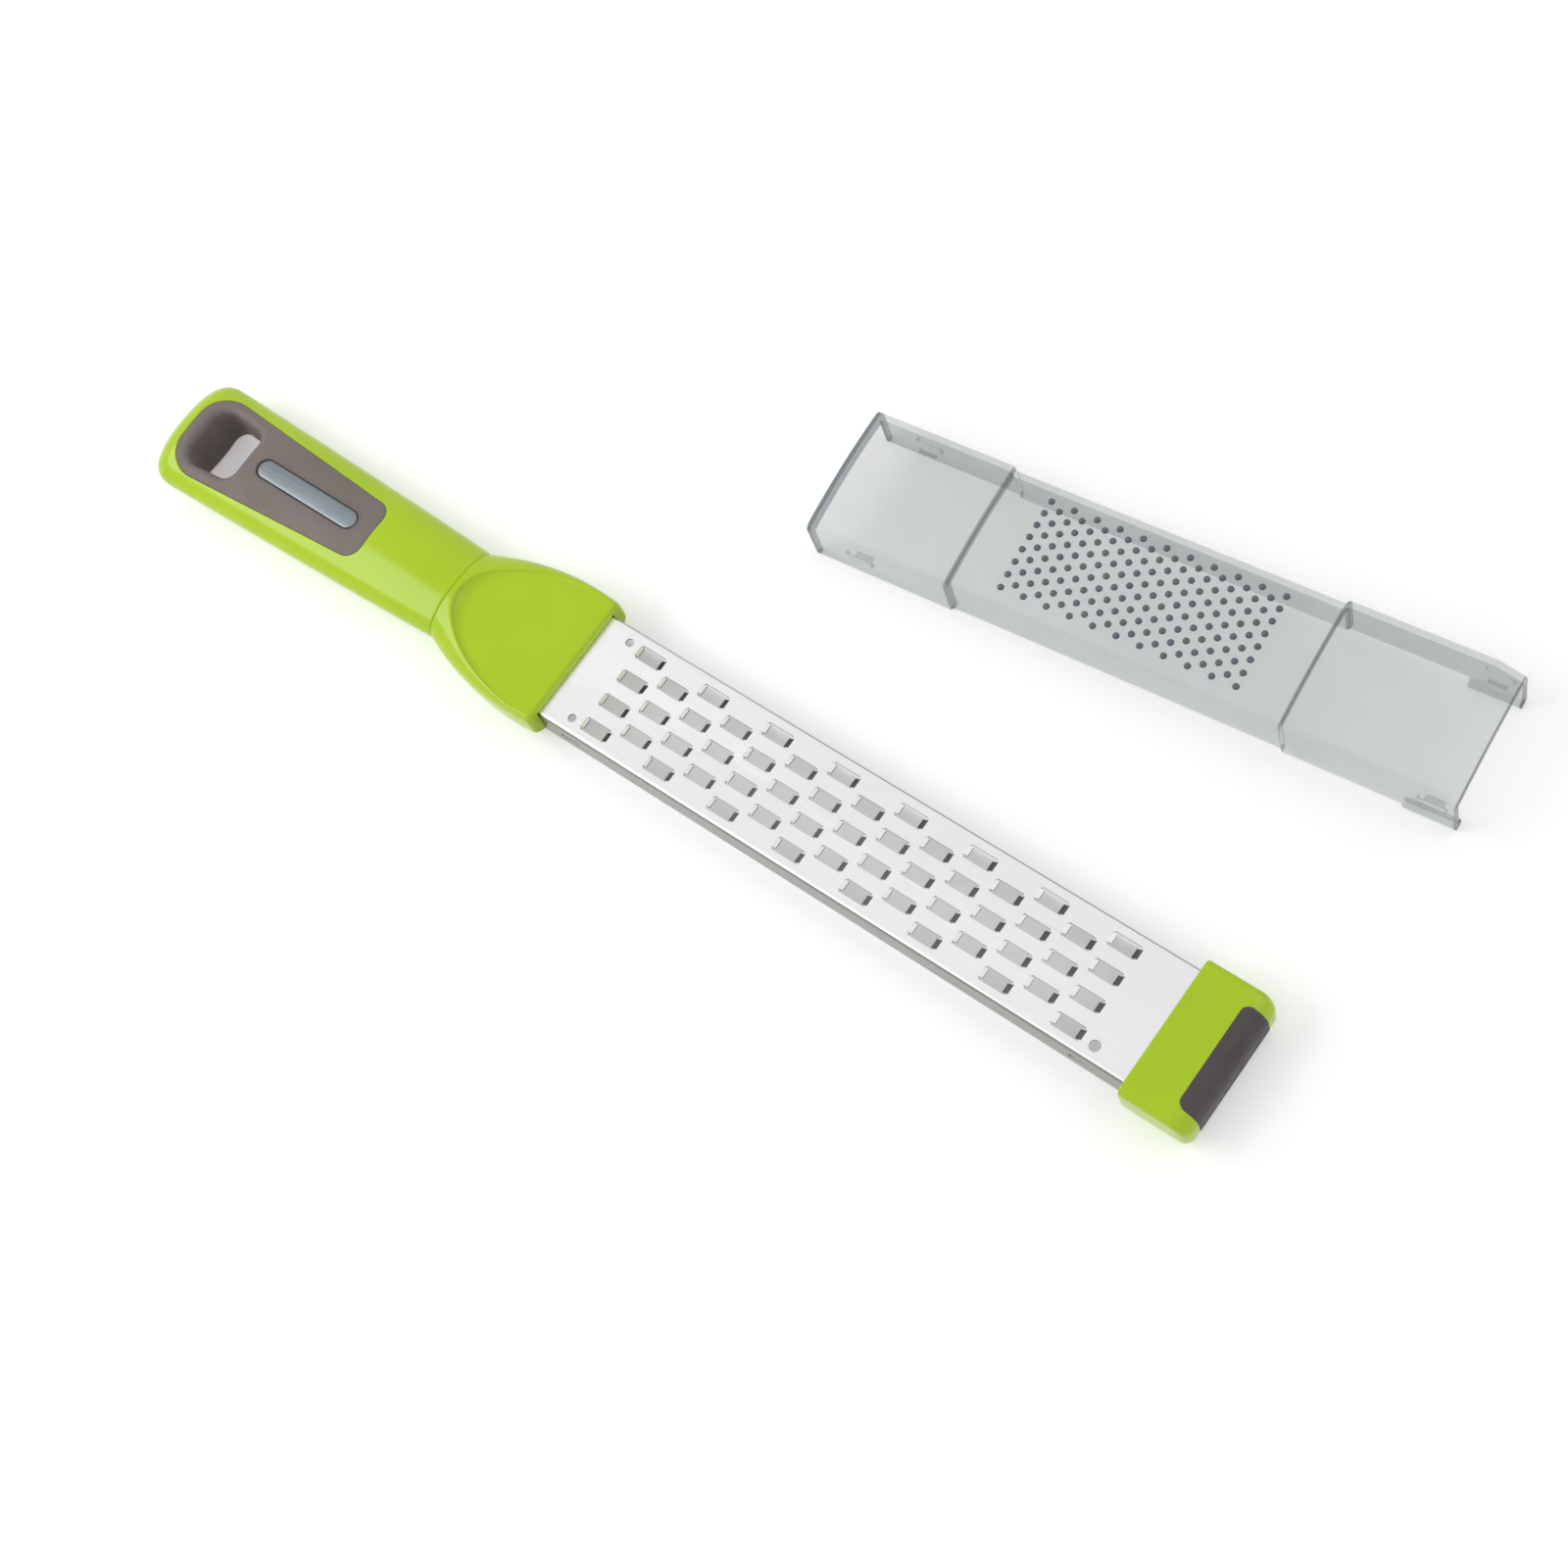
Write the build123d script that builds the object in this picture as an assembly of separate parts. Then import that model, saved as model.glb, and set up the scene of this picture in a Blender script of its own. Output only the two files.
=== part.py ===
from build123d import *
import os
from math import asin, atan2, copysign, cos, degrees, pi, radians, sin, sqrt

# Driving sizes in millimetres. The tool lies along X with its tip cap at +X and its teeth
# up. The origin is the middle of the cap's underside, which rests on the plane z = 0.

# Lengths along the tool. The cap is measured along its flat underside.
cap_flat = 14.3
blade_shown = 169.45
neck_length = 37.7
handle_length = 99.7

# Rasp blade
sheet = 0.5
blade_width = 30.7
flange_depth = 9.3
flange_clearance = 1.2
bend_radius = 1.0
neck_seat = 12.0
tang_width = 18.0
tang_to_seam = 3.7
tang_corner = 2.0

# Teeth: columns lie across the blade, and every second one shifts by half a row. There are
# as many as fit between the cap, the neck and the blade's sides.
column_pitch = 9.77
row_pitch = 7.3
last_column_to_cap = 17.4
teeth_to_neck = 12.0
teeth_to_side = 2.0
hole_length = 7.1
hole_width = 3.65
horn_length = 0.95
horn_width = 0.55
tongue_root = 0.5
tongue_rise = 0.75
tab_width = 2.4
tab_reach = 1.3
tab_drop = 1.4
kerf = 0.12

# Tooling holes in the sheet and snap slots in the flanges
neck_hole_radius = 1.1
neck_hole_inset = 8.2
cap_hole_radius = 1.4
cap_hole_inset = 10.05
tool_hole_inset = 3.75
slot_height = 1.8
slot_depth = 5.2
neck_slot_length = 5.5
neck_slot_inset = 8.5
cap_slot_length = 6.6
cap_slot_inset = 11.95

# Neck
neck_wall = 3.65
neck_widest_inset = 8.4
neck_rise = 2.2
neck_crest = 1.8
neck_face_mid = 6.0
neck_face_low = 1.0
scoop_rim = 1.0
scoop_seam_gap = 1.9
scoop_climb = 1.2
scoop_blend = 1.4
spigot_width = 12.0
spigot_height = 6.4
spigot_length = 38.0
spigot_corner = 1.5

# Tang keeper and its screws
keeper_sink = 0.6
keeper_lip = 0.5
screw_radius = 1.1
screw_hole_radius = 1.25
screw_head_radius = 2.4
screw_head_height = 1.6
screw_head_sink = 0.4
screw_spacing = 10.0
screw_inset = 5.0
screw_bite = 2.4
screw_cross_width = 0.7
screw_cross_span = 3.0
screw_cross_depth = 0.9

# Handle
handle_height = 16.0
handle_widest = 9.4
seam_half_width = 12.65
tip_half_width = 15.9
nose_length = 9.3
nose_drop = 7.5
core_side_cover = 4.15
core_top_cover = 3.0
core_corner = 2.5
core_inset = 1.6
core_to_eye = 3.1
socket_clearance = 0.12
socket_end_gap = 1.5

# Grip inlay, hanging eye and badge
inlay_depth = 1.5
inlay_tip_inset = 6.6
inlay_length = 64.9
inlay_tip_rim = 3.4
inlay_neck_half = 8.2
inlay_tip_corner = 8.0
inlay_neck_corner = 4.5
eye_inset = 4.0
eye_length = 15.8
eye_tip_rim = 3.9
eye_neck_half = 7.5
eye_corner = 4.0
eye_lining = 1.6
eye_flare = 1.6
eye_flare_depth = 3.0
badge_width = 5.3
badge_thickness = 0.7
badge_gap = 0.3
badge_sink = 0.15
badge_to_eye = 5.4
badge_to_end = 5.6

# Tip cap, its core and its foot
cap_rise = 2.0
cap_side_wall = 2.75
cap_end_wall = 8.05
cap_corner = 4.0
cap_top_edge = 2.2
cap_nose_edge = 5.6
cap_under_edge = 3.4
foot_margin = 4.4
foot_thickness = 1.2
foot_back = 5.5
foot_corner = 2.4

# Clear cover: raised ends, a lower middle, and a far end that slopes down to its edge. It
# is as long as the blade shows, less a gap at both ends, and its middle takes up the rest.
cover_wall = 1.4
cover_clearance = 0.35
cover_over_teeth = 2.0
cover_side = 12.0
cover_crown = 1.1
cover_shoulder = 1.8
cover_inner_shoulder = 0.6
cover_end_gap = 0.6
cover_left = 39.0
cover_right = 37.0
cover_slope = 6.3
cover_slope_drop = 3.0
cover_end_step = 0.7
cover_step_run = 1.0
cover_lip_depth = 2.5
cover_lip_thickness = 1.4
cover_foot_length = 13.0
cover_foot_drop = 3.0
cover_foot_width = 2.6
cover_foot_corner = 1.0

# Snaps of the cover, which stand as far apart as the slots of the blade
snap_inset = 13.4
snap_length = 4.8
snap_height = 1.5
snap_bite = 0.5
window_length = 6.8
window_height = 3.0

# Where the cover lies beside the tool
cover_x = -66.0
cover_y = 84.0
cover_turn = 5.6

# One overrun serves every cut
over = 1.0

# Shapes without a length: powers of the rounded sections and counts of their points
round_power = 2.1
neck_top_power = 6.0
neck_under_power = 2.6
nose_power = 2.9
flare_power = 0.75
section_points = 24
neck_sections = 7
body_sections = 9
nose_sections = 7

# Sizes and places that follow from the ones above
cap_inner = -cap_flat / 2
cap_outer = cap_flat / 2 + cap_under_edge
neck_face = cap_inner - blade_shown
seam = neck_face - neck_length
handle_tip = seam - handle_length
blade_top = flange_clearance + flange_depth
blade_half = blade_width / 2
channel_half = blade_half - sheet
neck_widest = blade_half + neck_wall
neck_top = blade_top + neck_rise
cap_top = blade_top + cap_rise
cap_width = blade_width + 2 * cap_side_wall
handle_mid = handle_height / 2
blade_start = neck_face - neck_seat
blade_end = cap_outer - cap_end_wall
last_column = cap_inner - last_column_to_cap
tooth_columns = 1 + int((blade_shown - last_column_to_cap - teeth_to_neck) / column_pitch)
full_column_teeth = 1 + int((blade_width - hole_width - 2 * teeth_to_side) / row_pitch)
tool_hole_offset = blade_half - tool_hole_inset
tang_length = neck_length - neck_seat - tang_to_seam
inlay_tip = handle_tip + inlay_tip_inset
inlay_neck = inlay_tip + inlay_length
inlay_tip_half = tip_half_width - inlay_tip_rim
eye_tip = inlay_tip + eye_inset
eye_neck = eye_tip + eye_length
eye_tip_half = inlay_tip_half - eye_tip_rim
badge_start = eye_neck + badge_to_eye
badge_length = inlay_neck - badge_to_end - badge_start
core_width = 2 * (seam_half_width - core_side_cover)
core_height = handle_height - 2 * core_top_cover
core_start = seam - core_inset
core_length = core_start - core_to_eye - eye_lining - eye_neck
cover_middle = blade_shown - 2 * cover_end_gap - cover_left - cover_right - cover_slope


def block(x0, x1, y0, y1, z0, z1):
    """A box between two corners."""
    return Pos((x0 + x1) / 2, (y0 + y1) / 2, (z0 + z1) / 2) * Box(x1 - x0, y1 - y0, z1 - z0)


def axis_share(value, power):
    """The share of a superellipse's half axis that a cosine or sine of the turn reaches."""
    return copysign(abs(value) ** (2 / power), value)


def oval(x, half_width, mid, up, down, top_power, under_power):
    """A closed section across X, with its own roundness above and below its middle."""
    points = []
    for step in range(section_points):
        turn = 2 * pi * step / section_points
        above = sin(turn) >= 0
        power = top_power if above else under_power
        reach = up if above else down
        y = half_width * axis_share(cos(turn), power)
        points.append((x, y, mid + reach * axis_share(sin(turn), power)))
    return make_face(Spline(*points, periodic=True))


def ease(share):
    """A smooth rise from 0 to 1."""
    return share * share * (3 - 2 * share)


def between(start, end, share):
    """The value a share of the way from start to end."""
    return start + (end - start) * share


# Rasp blade


def tooth_places():
    """Middle of each tooth: full columns and shifted, shorter ones take turns from the cap."""
    places = []
    for column in range(tooth_columns):
        count = full_column_teeth - column % 2
        x = last_column - column * column_pitch
        for row in range(count):
            places.append((x, (row - (count - 1) / 2) * row_pitch))
    return places


def bent_lip(x_root, x_free, rise, width):
    """Sheet bent at its root, with its free edge raised or, for a negative rise, sunk."""
    back = x_root + copysign(sheet, x_root - x_free)
    upper = [(back, blade_top), (x_root, blade_top), (x_free, blade_top + rise)]
    lower = [(x, z - sheet) for x, z in reversed(upper)]
    profile = make_face(Polyline(*upper, *lower, close=True))
    return extrude(Plane.XZ * profile, width / 2, both=True)


def tongue_width():
    """Width of the cutting tongue, which stands between the two horns."""
    return hole_width - 2 * horn_width


def tooth_window():
    """What is cut from the sheet at one tooth: the hole, and the slits beside tongue and tab."""
    half, deep = hole_length / 2, sheet
    tongue_half = tongue_width() / 2 + kerf
    tab_half = tab_width / 2 + kerf
    hole = block(-half, half, -hole_width / 2, hole_width / 2, -deep, deep)
    behind_tongue = block(-half - tongue_root, 0, -tongue_half, tongue_half, -deep, deep)
    return hole + behind_tongue + block(0, half + sheet, -tab_half, tab_half, -deep, deep)


def tongue():
    """The cutting edge: sheet between the horns, bent up towards its free edge."""
    half = hole_length / 2
    return bent_lip(-half - tongue_root, -half + horn_length, tongue_rise, tongue_width())


def tab():
    """The chip tab on the far side of the hole, bent down."""
    half = hole_length / 2
    return bent_lip(half + sheet, half - tab_reach, -tab_drop, tab_width)


def flange_slot(x, length):
    """A round-ended slot through both flanges."""
    outline = SlotOverall(length, slot_height)
    z = blade_top - slot_depth
    return Pos(x, 0, z) * Rot(90, 0, 0) * extrude(outline, blade_width, both=True)


def make_rasp_blade():
    """Folded channel with its teeth, tang, slots and holes."""
    middle = (blade_start + blade_end) / 2
    profile = RectangleRounded(blade_width, 2 * flange_depth, bend_radius)
    bore = RectangleRounded(2 * channel_half, 2 * (flange_depth - sheet), bend_radius - sheet)
    ring = extrude(Plane.YZ * (profile - bore), (blade_end - blade_start) / 2, both=True)
    upper = block(blade_start, blade_end, -blade_width, blade_width, flange_clearance, blade_top + over)
    blade = (Pos(middle, 0, flange_clearance) * ring) & upper
    flat = Pos(blade_start - tang_length / 2 + over / 2, 0) * Rectangle(tang_length + over, tang_width)
    flat = fillet(flat.vertices().sort_by(Axis.X)[:2], tang_corner)
    blade += Pos(0, 0, blade_top - sheet) * extrude(flat, sheet)
    cuts = []
    shape = Pos(0, 0, blade_top - sheet / 2) * tooth_window()
    for x, y in tooth_places():
        cuts.append(Pos(x, y, 0) * shape)
    hole_depth = 4 * sheet
    for side in (-1, 1):
        x = neck_face + neck_hole_inset
        cuts.append(Pos(x, side * tool_hole_offset, blade_top) * Cylinder(neck_hole_radius, hole_depth))
    x = cap_inner - cap_hole_inset
    cuts.append(Pos(x, -tool_hole_offset, blade_top) * Cylinder(cap_hole_radius, hole_depth))
    for y in screw_places():
        cuts.append(Pos(screw_x(), y, blade_top) * Cylinder(screw_hole_radius, hole_depth))
    cuts.append(flange_slot(neck_face + neck_slot_inset, neck_slot_length))
    cuts.append(flange_slot(cap_inner - cap_slot_inset, cap_slot_length))
    blade -= cuts
    teeth = []
    for x, y in tooth_places():
        teeth.append(Pos(x, y, 0) * tongue())
        teeth.append(Pos(x, y, 0) * tab())
    return blade + teeth


# Neck, keeper and screws


def neck_half_width(x):
    """Half width of the neck at x, on one arc through the seam and its widest place."""
    crest = neck_face - neck_widest_inset
    run, drop = crest - seam, neck_widest - seam_half_width
    radius = (run * run + drop * drop) / (2 * drop)
    return neck_widest - radius + sqrt(radius * radius - (x - crest) ** 2)


def make_neck_body():
    """Outside of the neck: the handle's oval turns into a shallow rounded box."""
    faces = []
    for step in range(neck_sections):
        share = step / (neck_sections - 1)
        rise = ease(share)
        x = between(seam, neck_face, share)
        faces.append(oval(
            x,
            neck_half_width(x),
            between(handle_widest, neck_face_mid, rise),
            between(handle_height - handle_widest, neck_top + neck_crest - neck_face_mid, rise),
            between(handle_widest, neck_face_mid - neck_face_low, rise),
            between(round_power, neck_top_power, rise),
            between(round_power, neck_under_power, rise),
        ))
    return loft(faces)


def make_scoop():
    """The cut that leaves the flat face: half an ellipse in plan, climbing to the handle."""
    reach = neck_length - scoop_seam_gap
    outline = Ellipse(reach, neck_widest - scoop_rim)
    climb = degrees(asin(scoop_climb / reach))
    scoop = extrude(outline, handle_height)
    scoop = fillet(scoop.faces().sort_by(Axis.Z)[0].edges(), scoop_blend)
    return Pos(neck_face, 0, neck_top) * Rot(0, climb, 0) * scoop


def screw_places():
    """Y of each keeper screw."""
    return (-screw_spacing / 2, screw_spacing / 2)


def screw_x():
    """X of the keeper screws, near the end of the tang."""
    return blade_start - tang_length + screw_inset


def keeper_end():
    """X of the keeper's end inside the neck."""
    return blade_start - tang_length - keeper_lip


def make_neck():
    """Neck with its scoop, blade seat, keeper pocket, screw pilots and spigot."""
    neck = make_neck_body() - make_scoop()
    seat = block(blade_start, neck_face + over, -blade_half, blade_half, -over, blade_top)
    pocket = block(keeper_end(), blade_start + over, -tang_width / 2, tang_width / 2, -over, blade_top)
    neck -= [seat, pocket]
    tip = blade_top + screw_bite
    for y in screw_places():
        neck -= Pos(screw_x(), y, (tip + blade_top) / 2) * Cylinder(screw_radius, tip - blade_top)
    bar = RectangleRounded(spigot_width, spigot_height, spigot_corner)
    spigot = extrude(Plane.YZ * bar, spigot_length + over)
    return neck + Pos(seam - spigot_length, 0, handle_mid) * spigot


def make_tang_keeper():
    """Block that fills the channel's end and clamps the tang from below."""
    low, high = flange_clearance + keeper_sink, blade_top - sheet
    front = block(blade_start, neck_face - keeper_lip, -channel_half, channel_half, low, high)
    back = block(keeper_end(), blade_start + over, -tang_width / 2, tang_width / 2, low, high)
    keeper = front + back
    keeper -= corner_bars(blade_start, neck_face)
    head_z = low + screw_head_sink + screw_head_height
    for y in screw_places():
        keeper -= Pos(screw_x(), y, high) * Cylinder(screw_hole_radius, 2 * high)
        keeper -= Pos(screw_x(), y, head_z / 2) * Cylinder(screw_head_radius, head_z)
    return keeper


def corner_bars(x0, x1):
    """What the channel's inner bends take from the corners of a block inside it."""
    inner = bend_radius - sheet
    low, high = blade_top - sheet - inner, blade_top - sheet
    bars = []
    for side in (-1, 1):
        near, far = side * (channel_half - inner), side * channel_half
        bar = block(x0, x1, min(near, far), max(near, far), low, high)
        bend = Pos((x0 + x1) / 2, near, low) * Rot(0, 90, 0) * Cylinder(inner, x1 - x0)
        bars.append(bar - bend)
    return bars


def make_keeper_screws():
    """Two pan-head screws with cross slots, from the keeper up into the neck."""
    screws = []
    head_low = flange_clearance + keeper_sink + screw_head_sink
    head_high = head_low + screw_head_height
    tip = blade_top + screw_bite
    for y in screw_places():
        middle = (head_low + head_high) / 2
        head = Pos(screw_x(), y, middle) * Cylinder(screw_head_radius, screw_head_height)
        shank = Pos(screw_x(), y, (head_high + tip) / 2) * Cylinder(screw_radius, tip - head_high)
        slot = Box(screw_cross_span, screw_cross_width, 2 * screw_cross_depth)
        cross = slot + Rot(0, 0, 90) * slot
        screws.append(head + shank - Pos(screw_x(), y, head_low) * cross)
    return Compound(children=screws)


# Handle


def handle_body(shrink=0.0):
    """Outside of the handle, or the same form with its height shrunk on both sides."""
    faces = []
    shoulder = handle_tip + nose_length
    for step in range(body_sections):
        share = step / body_sections
        faces.append(handle_oval(between(seam, shoulder, share), shrink))
    for step in range(nose_sections):
        turn = radians(90 * step / nose_sections)
        faces.append(handle_oval(shoulder - nose_length * sin(turn), shrink))
    return loft(faces)


def handle_oval(x, shrink):
    """The handle's section at x: it flares to its end and closes in a round nose."""
    share = (seam - x) / handle_length
    half_width = between(seam_half_width, tip_half_width, share ** flare_power)
    from_tip = x - handle_tip
    side = max(0, 1 - from_tip / nose_length)
    half_width *= (1 - side ** nose_power) ** (1 / nose_power)
    low = max(0, 1 - from_tip / nose_drop)
    rounding = sqrt(1 - low * low)
    up = (handle_height - handle_widest - shrink) * rounding
    down = (handle_widest - shrink) * rounding
    return oval(x, half_width, handle_widest, up, down, round_power, round_power)


def tapered_outline(x_tip, x_neck, half_tip, half_neck, tip_corner, neck_corner):
    """A four-sided plan outline with two radii, wider towards the handle's end."""
    corners = [(x_tip, -half_tip), (x_neck, -half_neck), (x_neck, half_neck), (x_tip, half_tip)]
    outline = make_face(Polyline(*corners, close=True))
    ends = outline.vertices().sort_by(Axis.X)
    outline = fillet(ends[:2], tip_corner)
    ends = outline.vertices().sort_by(Axis.X)
    return fillet(ends[-2:], neck_corner)


def eye_outline(grow=0.0):
    """The hanging eye in plan, grown by a wall all round."""
    return tapered_outline(
        eye_tip - grow, eye_neck + grow, eye_tip_half + grow, eye_neck_half + grow,
        eye_corner + grow, eye_corner + grow,
    )


def upright(outline):
    """A plan outline cut right through the handle."""
    return Pos(0, 0, -over) * extrude(outline, handle_height + 2 * over)


def badge_outline(gap):
    """The badge's stadium in plan, with a gap all round."""
    middle = badge_start + badge_length / 2
    return Pos(middle, 0) * SlotOverall(badge_length + 2 * gap, badge_width + 2 * gap)


def make_inlay_blank(body):
    """Grey inlay before its eye and badge: two plates joined by the eye's lining."""
    outline = tapered_outline(
        inlay_tip, inlay_neck, inlay_tip_half, inlay_neck_half, inlay_tip_corner, inlay_neck_corner
    )
    plates = (body & upright(outline)) - handle_body(inlay_depth)
    return plates + (body & upright(eye_outline(eye_lining)))


def core_bar():
    """Outside of the core inside the handle."""
    bar = RectangleRounded(core_width, core_height, core_corner)
    return Pos(core_start - core_length, 0, handle_mid) * extrude(Plane.YZ * bar, core_length)


def socket_bar(depth):
    """What the spigot needs, from the seam down to a depth."""
    width, height = spigot_width + 2 * socket_clearance, spigot_height + 2 * socket_clearance
    outline = RectangleRounded(width, height, spigot_corner + socket_clearance)
    return Pos(seam - depth, 0, handle_mid) * extrude(Plane.YZ * outline, depth + over)


def make_handle_core():
    """Core bar with the socket for the neck's spigot."""
    return core_bar() - socket_bar(spigot_length + socket_end_gap)


def make_handle_shell(body, inlay_blank):
    """Handle around its core, with the recess for the inlay and the spigot's way in."""
    return body - inlay_blank - core_bar() - socket_bar(core_inset + over)


def make_grip_inlay(inlay_blank):
    """Inlay with its flared eye and the badge's recess."""
    mouth, throat = eye_outline(eye_flare).face(), eye_outline().face()
    below = loft([mouth, Pos(0, 0, eye_flare_depth) * throat], ruled=True)
    below += Pos(0, 0, -over) * extrude(mouth, over)
    above = mirror(below, Plane.XY.offset(handle_mid))
    recess = Pos(0, 0, badge_floor()) * extrude(badge_outline(badge_gap), handle_height)
    return inlay_blank - upright(eye_outline()) - below - above - recess


def badge_floor():
    """Height of the recess that the badge lies in."""
    return handle_height - badge_sink - badge_thickness


def make_badge_plate():
    """Bare plate, its top just under the inlay."""
    return Pos(0, 0, badge_floor()) * extrude(badge_outline(0), badge_thickness)


# Tip


def cap_block(inset=0.0):
    """The cap's rounded block, or the same block drawn in by an inset at end, top and underside."""
    outer, top = cap_outer - inset, cap_top - inset
    plan = Rectangle(outer - cap_inner, cap_width)
    plan = fillet(plan.vertices().sort_by(Axis.X)[2:], cap_corner - inset)
    solid = Pos((outer + cap_inner) / 2, 0, inset) * extrude(plan, top - inset)
    kept = solid.faces().sort_by(Axis.X)[0].edges()
    upper = [e for e in solid.faces().sort_by(Axis.Z)[-1].edges() if e not in kept]
    solid = fillet(upper, cap_top_edge - inset)
    kept = solid.faces().sort_by(Axis.X)[0].edges()
    under = [e for e in solid.faces().sort_by(Axis.Z)[0].edges() if e not in kept]
    return fillet(under, cap_under_edge - inset) & cap_nose(outer, top, cap_nose_edge - inset)


def cap_nose(outer, top, radius):
    """A bar across the cap that rounds the upper edge of its end."""
    corners = [(cap_inner, -over), (outer, -over), (outer, top), (cap_inner, top)]
    profile = make_face(Polyline(*corners, close=True))
    ends = profile.vertices().group_by(Axis.X)[-1]
    profile = fillet(ends.sort_by(Axis.Z)[-1:], radius)
    return extrude(Plane.XZ * profile, cap_width, both=True)


def make_tip_cap(foot):
    """Cap with the pocket for the blade's end and the recess for its foot."""
    pocket = block(cap_inner - over, blade_end, -blade_half, blade_half, flange_clearance, blade_top)
    return cap_block() - pocket - foot


def make_tip_foot():
    """Soft pad that wraps the cap's end from its top to its underside."""
    plan = Rectangle(foot_back + over, cap_width - 2 * foot_margin)
    plan = fillet(plan.vertices().sort_by(Axis.X)[:2], foot_corner)
    reach = extrude(plan, cap_top + 2 * over)
    reach = Pos(cap_outer + (over - foot_back) / 2, 0, -over) * reach
    return (cap_block() & reach) - cap_block(foot_thickness)


def make_tip_core():
    """Block inside the blade's end, under the sheet and between the flanges."""
    core = block(cap_inner, blade_end, -channel_half, channel_half, flange_clearance, blade_top - sheet)
    return core - corner_bars(cap_inner, blade_end)


# Clear cover, built with its left end at x = 0 and the lower edge of its sides at z = 0


def cover_stations():
    """X, how far the section is stepped out there, and how far it has sloped down."""
    step_in = cover_left - cover_step_run
    step_out = cover_left + cover_middle
    slope_start = step_out + cover_right
    return [
        (0, cover_end_step, 0),
        (step_in, cover_end_step, 0),
        (cover_left, 0, 0),
        (step_out, 0, 0),
        (step_out + cover_step_run, cover_end_step, 0),
        (slope_start, cover_end_step, 0),
        (slope_start + cover_slope, cover_end_step, cover_slope_drop),
    ]


def cover_length():
    """Length of the cover with its sloped end."""
    return cover_stations()[-1][0]


def cover_half(step):
    """Outer half width where the section is stepped out by a step."""
    return blade_half + cover_clearance + cover_wall + step


def cover_section(x, step, drop, inset):
    """Section at x: upright sides, round shoulders and an arched top, drawn in by a wall."""
    half = cover_half(step) - inset
    edge = cover_side + step - drop - inset
    shoulder = cover_inner_shoulder if inset else cover_shoulder
    low = -over if inset else 0
    crown = ThreePointArc((-half, edge), (0, edge + cover_crown), (half, edge))
    legs = Polyline((half, edge), (half, low), (-half, low), (-half, edge))
    face = make_face([crown, legs])
    face = fillet(face.vertices().sort_by(Axis.Y)[2:], shoulder)
    return Pos(x, 0, 0) * (Plane.YZ * face)


def cover_form(inset=0.0):
    """The cover as a solid bar, or what its inside is cut with."""
    faces = [cover_section(x, step, drop, inset) for x, step, drop in cover_stations()]
    bar = loft(faces, ruled=True)
    if inset:
        x, step, drop = cover_stations()[-1]
        bar += Pos(-over, 0, 0) * extrude(cover_section(0, cover_end_step, 0, inset), 2 * over)
        bar += extrude(cover_section(x - over, step, drop, inset), 2 * over)
    return bar


def cover_foot(side):
    """Foot at the far end: the side reaches down and turns in below the blade's edge."""
    outer, low = cover_half(cover_end_step), -cover_foot_drop
    inner = outer - cover_wall
    hook = outer - cover_foot_width
    ledge = low + cover_wall
    corners = [(outer, over), (outer, low), (hook, low), (hook, ledge), (inner, ledge), (inner, over)]
    face = make_face(Polyline(*corners, close=True))
    face = fillet(face.vertices().sort_by(Axis.X)[-2:].sort_by(Axis.Y)[:1], cover_foot_corner)
    foot = extrude(Plane.YZ * face, cover_foot_length)
    foot = Pos(cover_length() - cover_foot_length, 0, 0) * foot
    return foot if side > 0 else mirror(foot, Plane.XZ)


def snap_places():
    """Middle of the snaps along the cover, as far apart as the blade's slots."""
    spacing = blade_shown - neck_slot_inset - cap_slot_inset
    return (snap_inset, snap_inset + spacing)


def snap_barb(x, side):
    """Barb inside a side of the cover, flat above and sloped below, for a slot of the blade."""
    wall = cover_half(cover_end_step) - cover_wall
    tip = blade_half - snap_bite
    high = snap_middle() + snap_height / 2
    low = high - snap_height
    face = make_face(Polyline((wall + over / 2, high), (tip, high), (wall + over / 2, low), close=True))
    barb = Pos(x - snap_length / 2, 0, 0) * extrude(Plane.YZ * face, snap_length)
    return barb if side > 0 else mirror(barb, Plane.XZ)


def snap_middle():
    """Height of the barbs: the blade's slots, when its top lies under the cover's ceiling."""
    return cover_side - cover_wall - cover_over_teeth - slot_depth


def make_blade_cover():
    """Clear cover with its lip, feet, windows and barbs, tilted on its feet and laid down."""
    outer, inner = cover_form(), cover_form(cover_wall)
    lip = Pos(cover_lip_thickness / 2, 0, 0) * Box(cover_lip_thickness, 4 * blade_width, 4 * cover_side)
    cover = outer - inner
    cover += (outer & lip) - Pos(0, 0, cover_wall - cover_lip_depth) * inner
    reach = 2 * blade_width
    sill = snap_middle() + snap_height / 2
    for x in snap_places():
        cover -= block(
            x - window_length / 2, x + window_length / 2, -reach, reach, sill, sill + window_height
        )
        cover += [snap_barb(x, -1), snap_barb(x, 1)]
    cover += [cover_foot(-1), cover_foot(1)]
    lean = degrees(atan2(cover_foot_drop, cover_length() - cover_foot_length))
    cover = Pos(-cover_length() / 2, 0, 0) * (Rot(0, -lean, 0) * cover)
    return Pos(cover_x, cover_y, 0) * (Rot(0, 0, cover_turn) * cover)


def main():
    """Build every piece and write it to its own file."""
    os.makedirs("parts", exist_ok=True)
    body = handle_body()
    blank = make_inlay_blank(body)
    foot = make_tip_foot()
    pieces = {
        "rasp_blade": make_rasp_blade(),
        "neck": make_neck(),
        "tang_keeper": make_tang_keeper(),
        "keeper_screws": make_keeper_screws(),
        "handle_core": make_handle_core(),
        "handle_shell": make_handle_shell(body, blank),
        "grip_inlay": make_grip_inlay(blank),
        "badge_plate": make_badge_plate(),
        "tip_cap": make_tip_cap(foot),
        "tip_core": make_tip_core(),
        "tip_foot": foot,
        "blade_cover": make_blade_cover(),
    }
    for name, piece in pieces.items():
        export_step(piece, f"parts/{name}.step")


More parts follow.
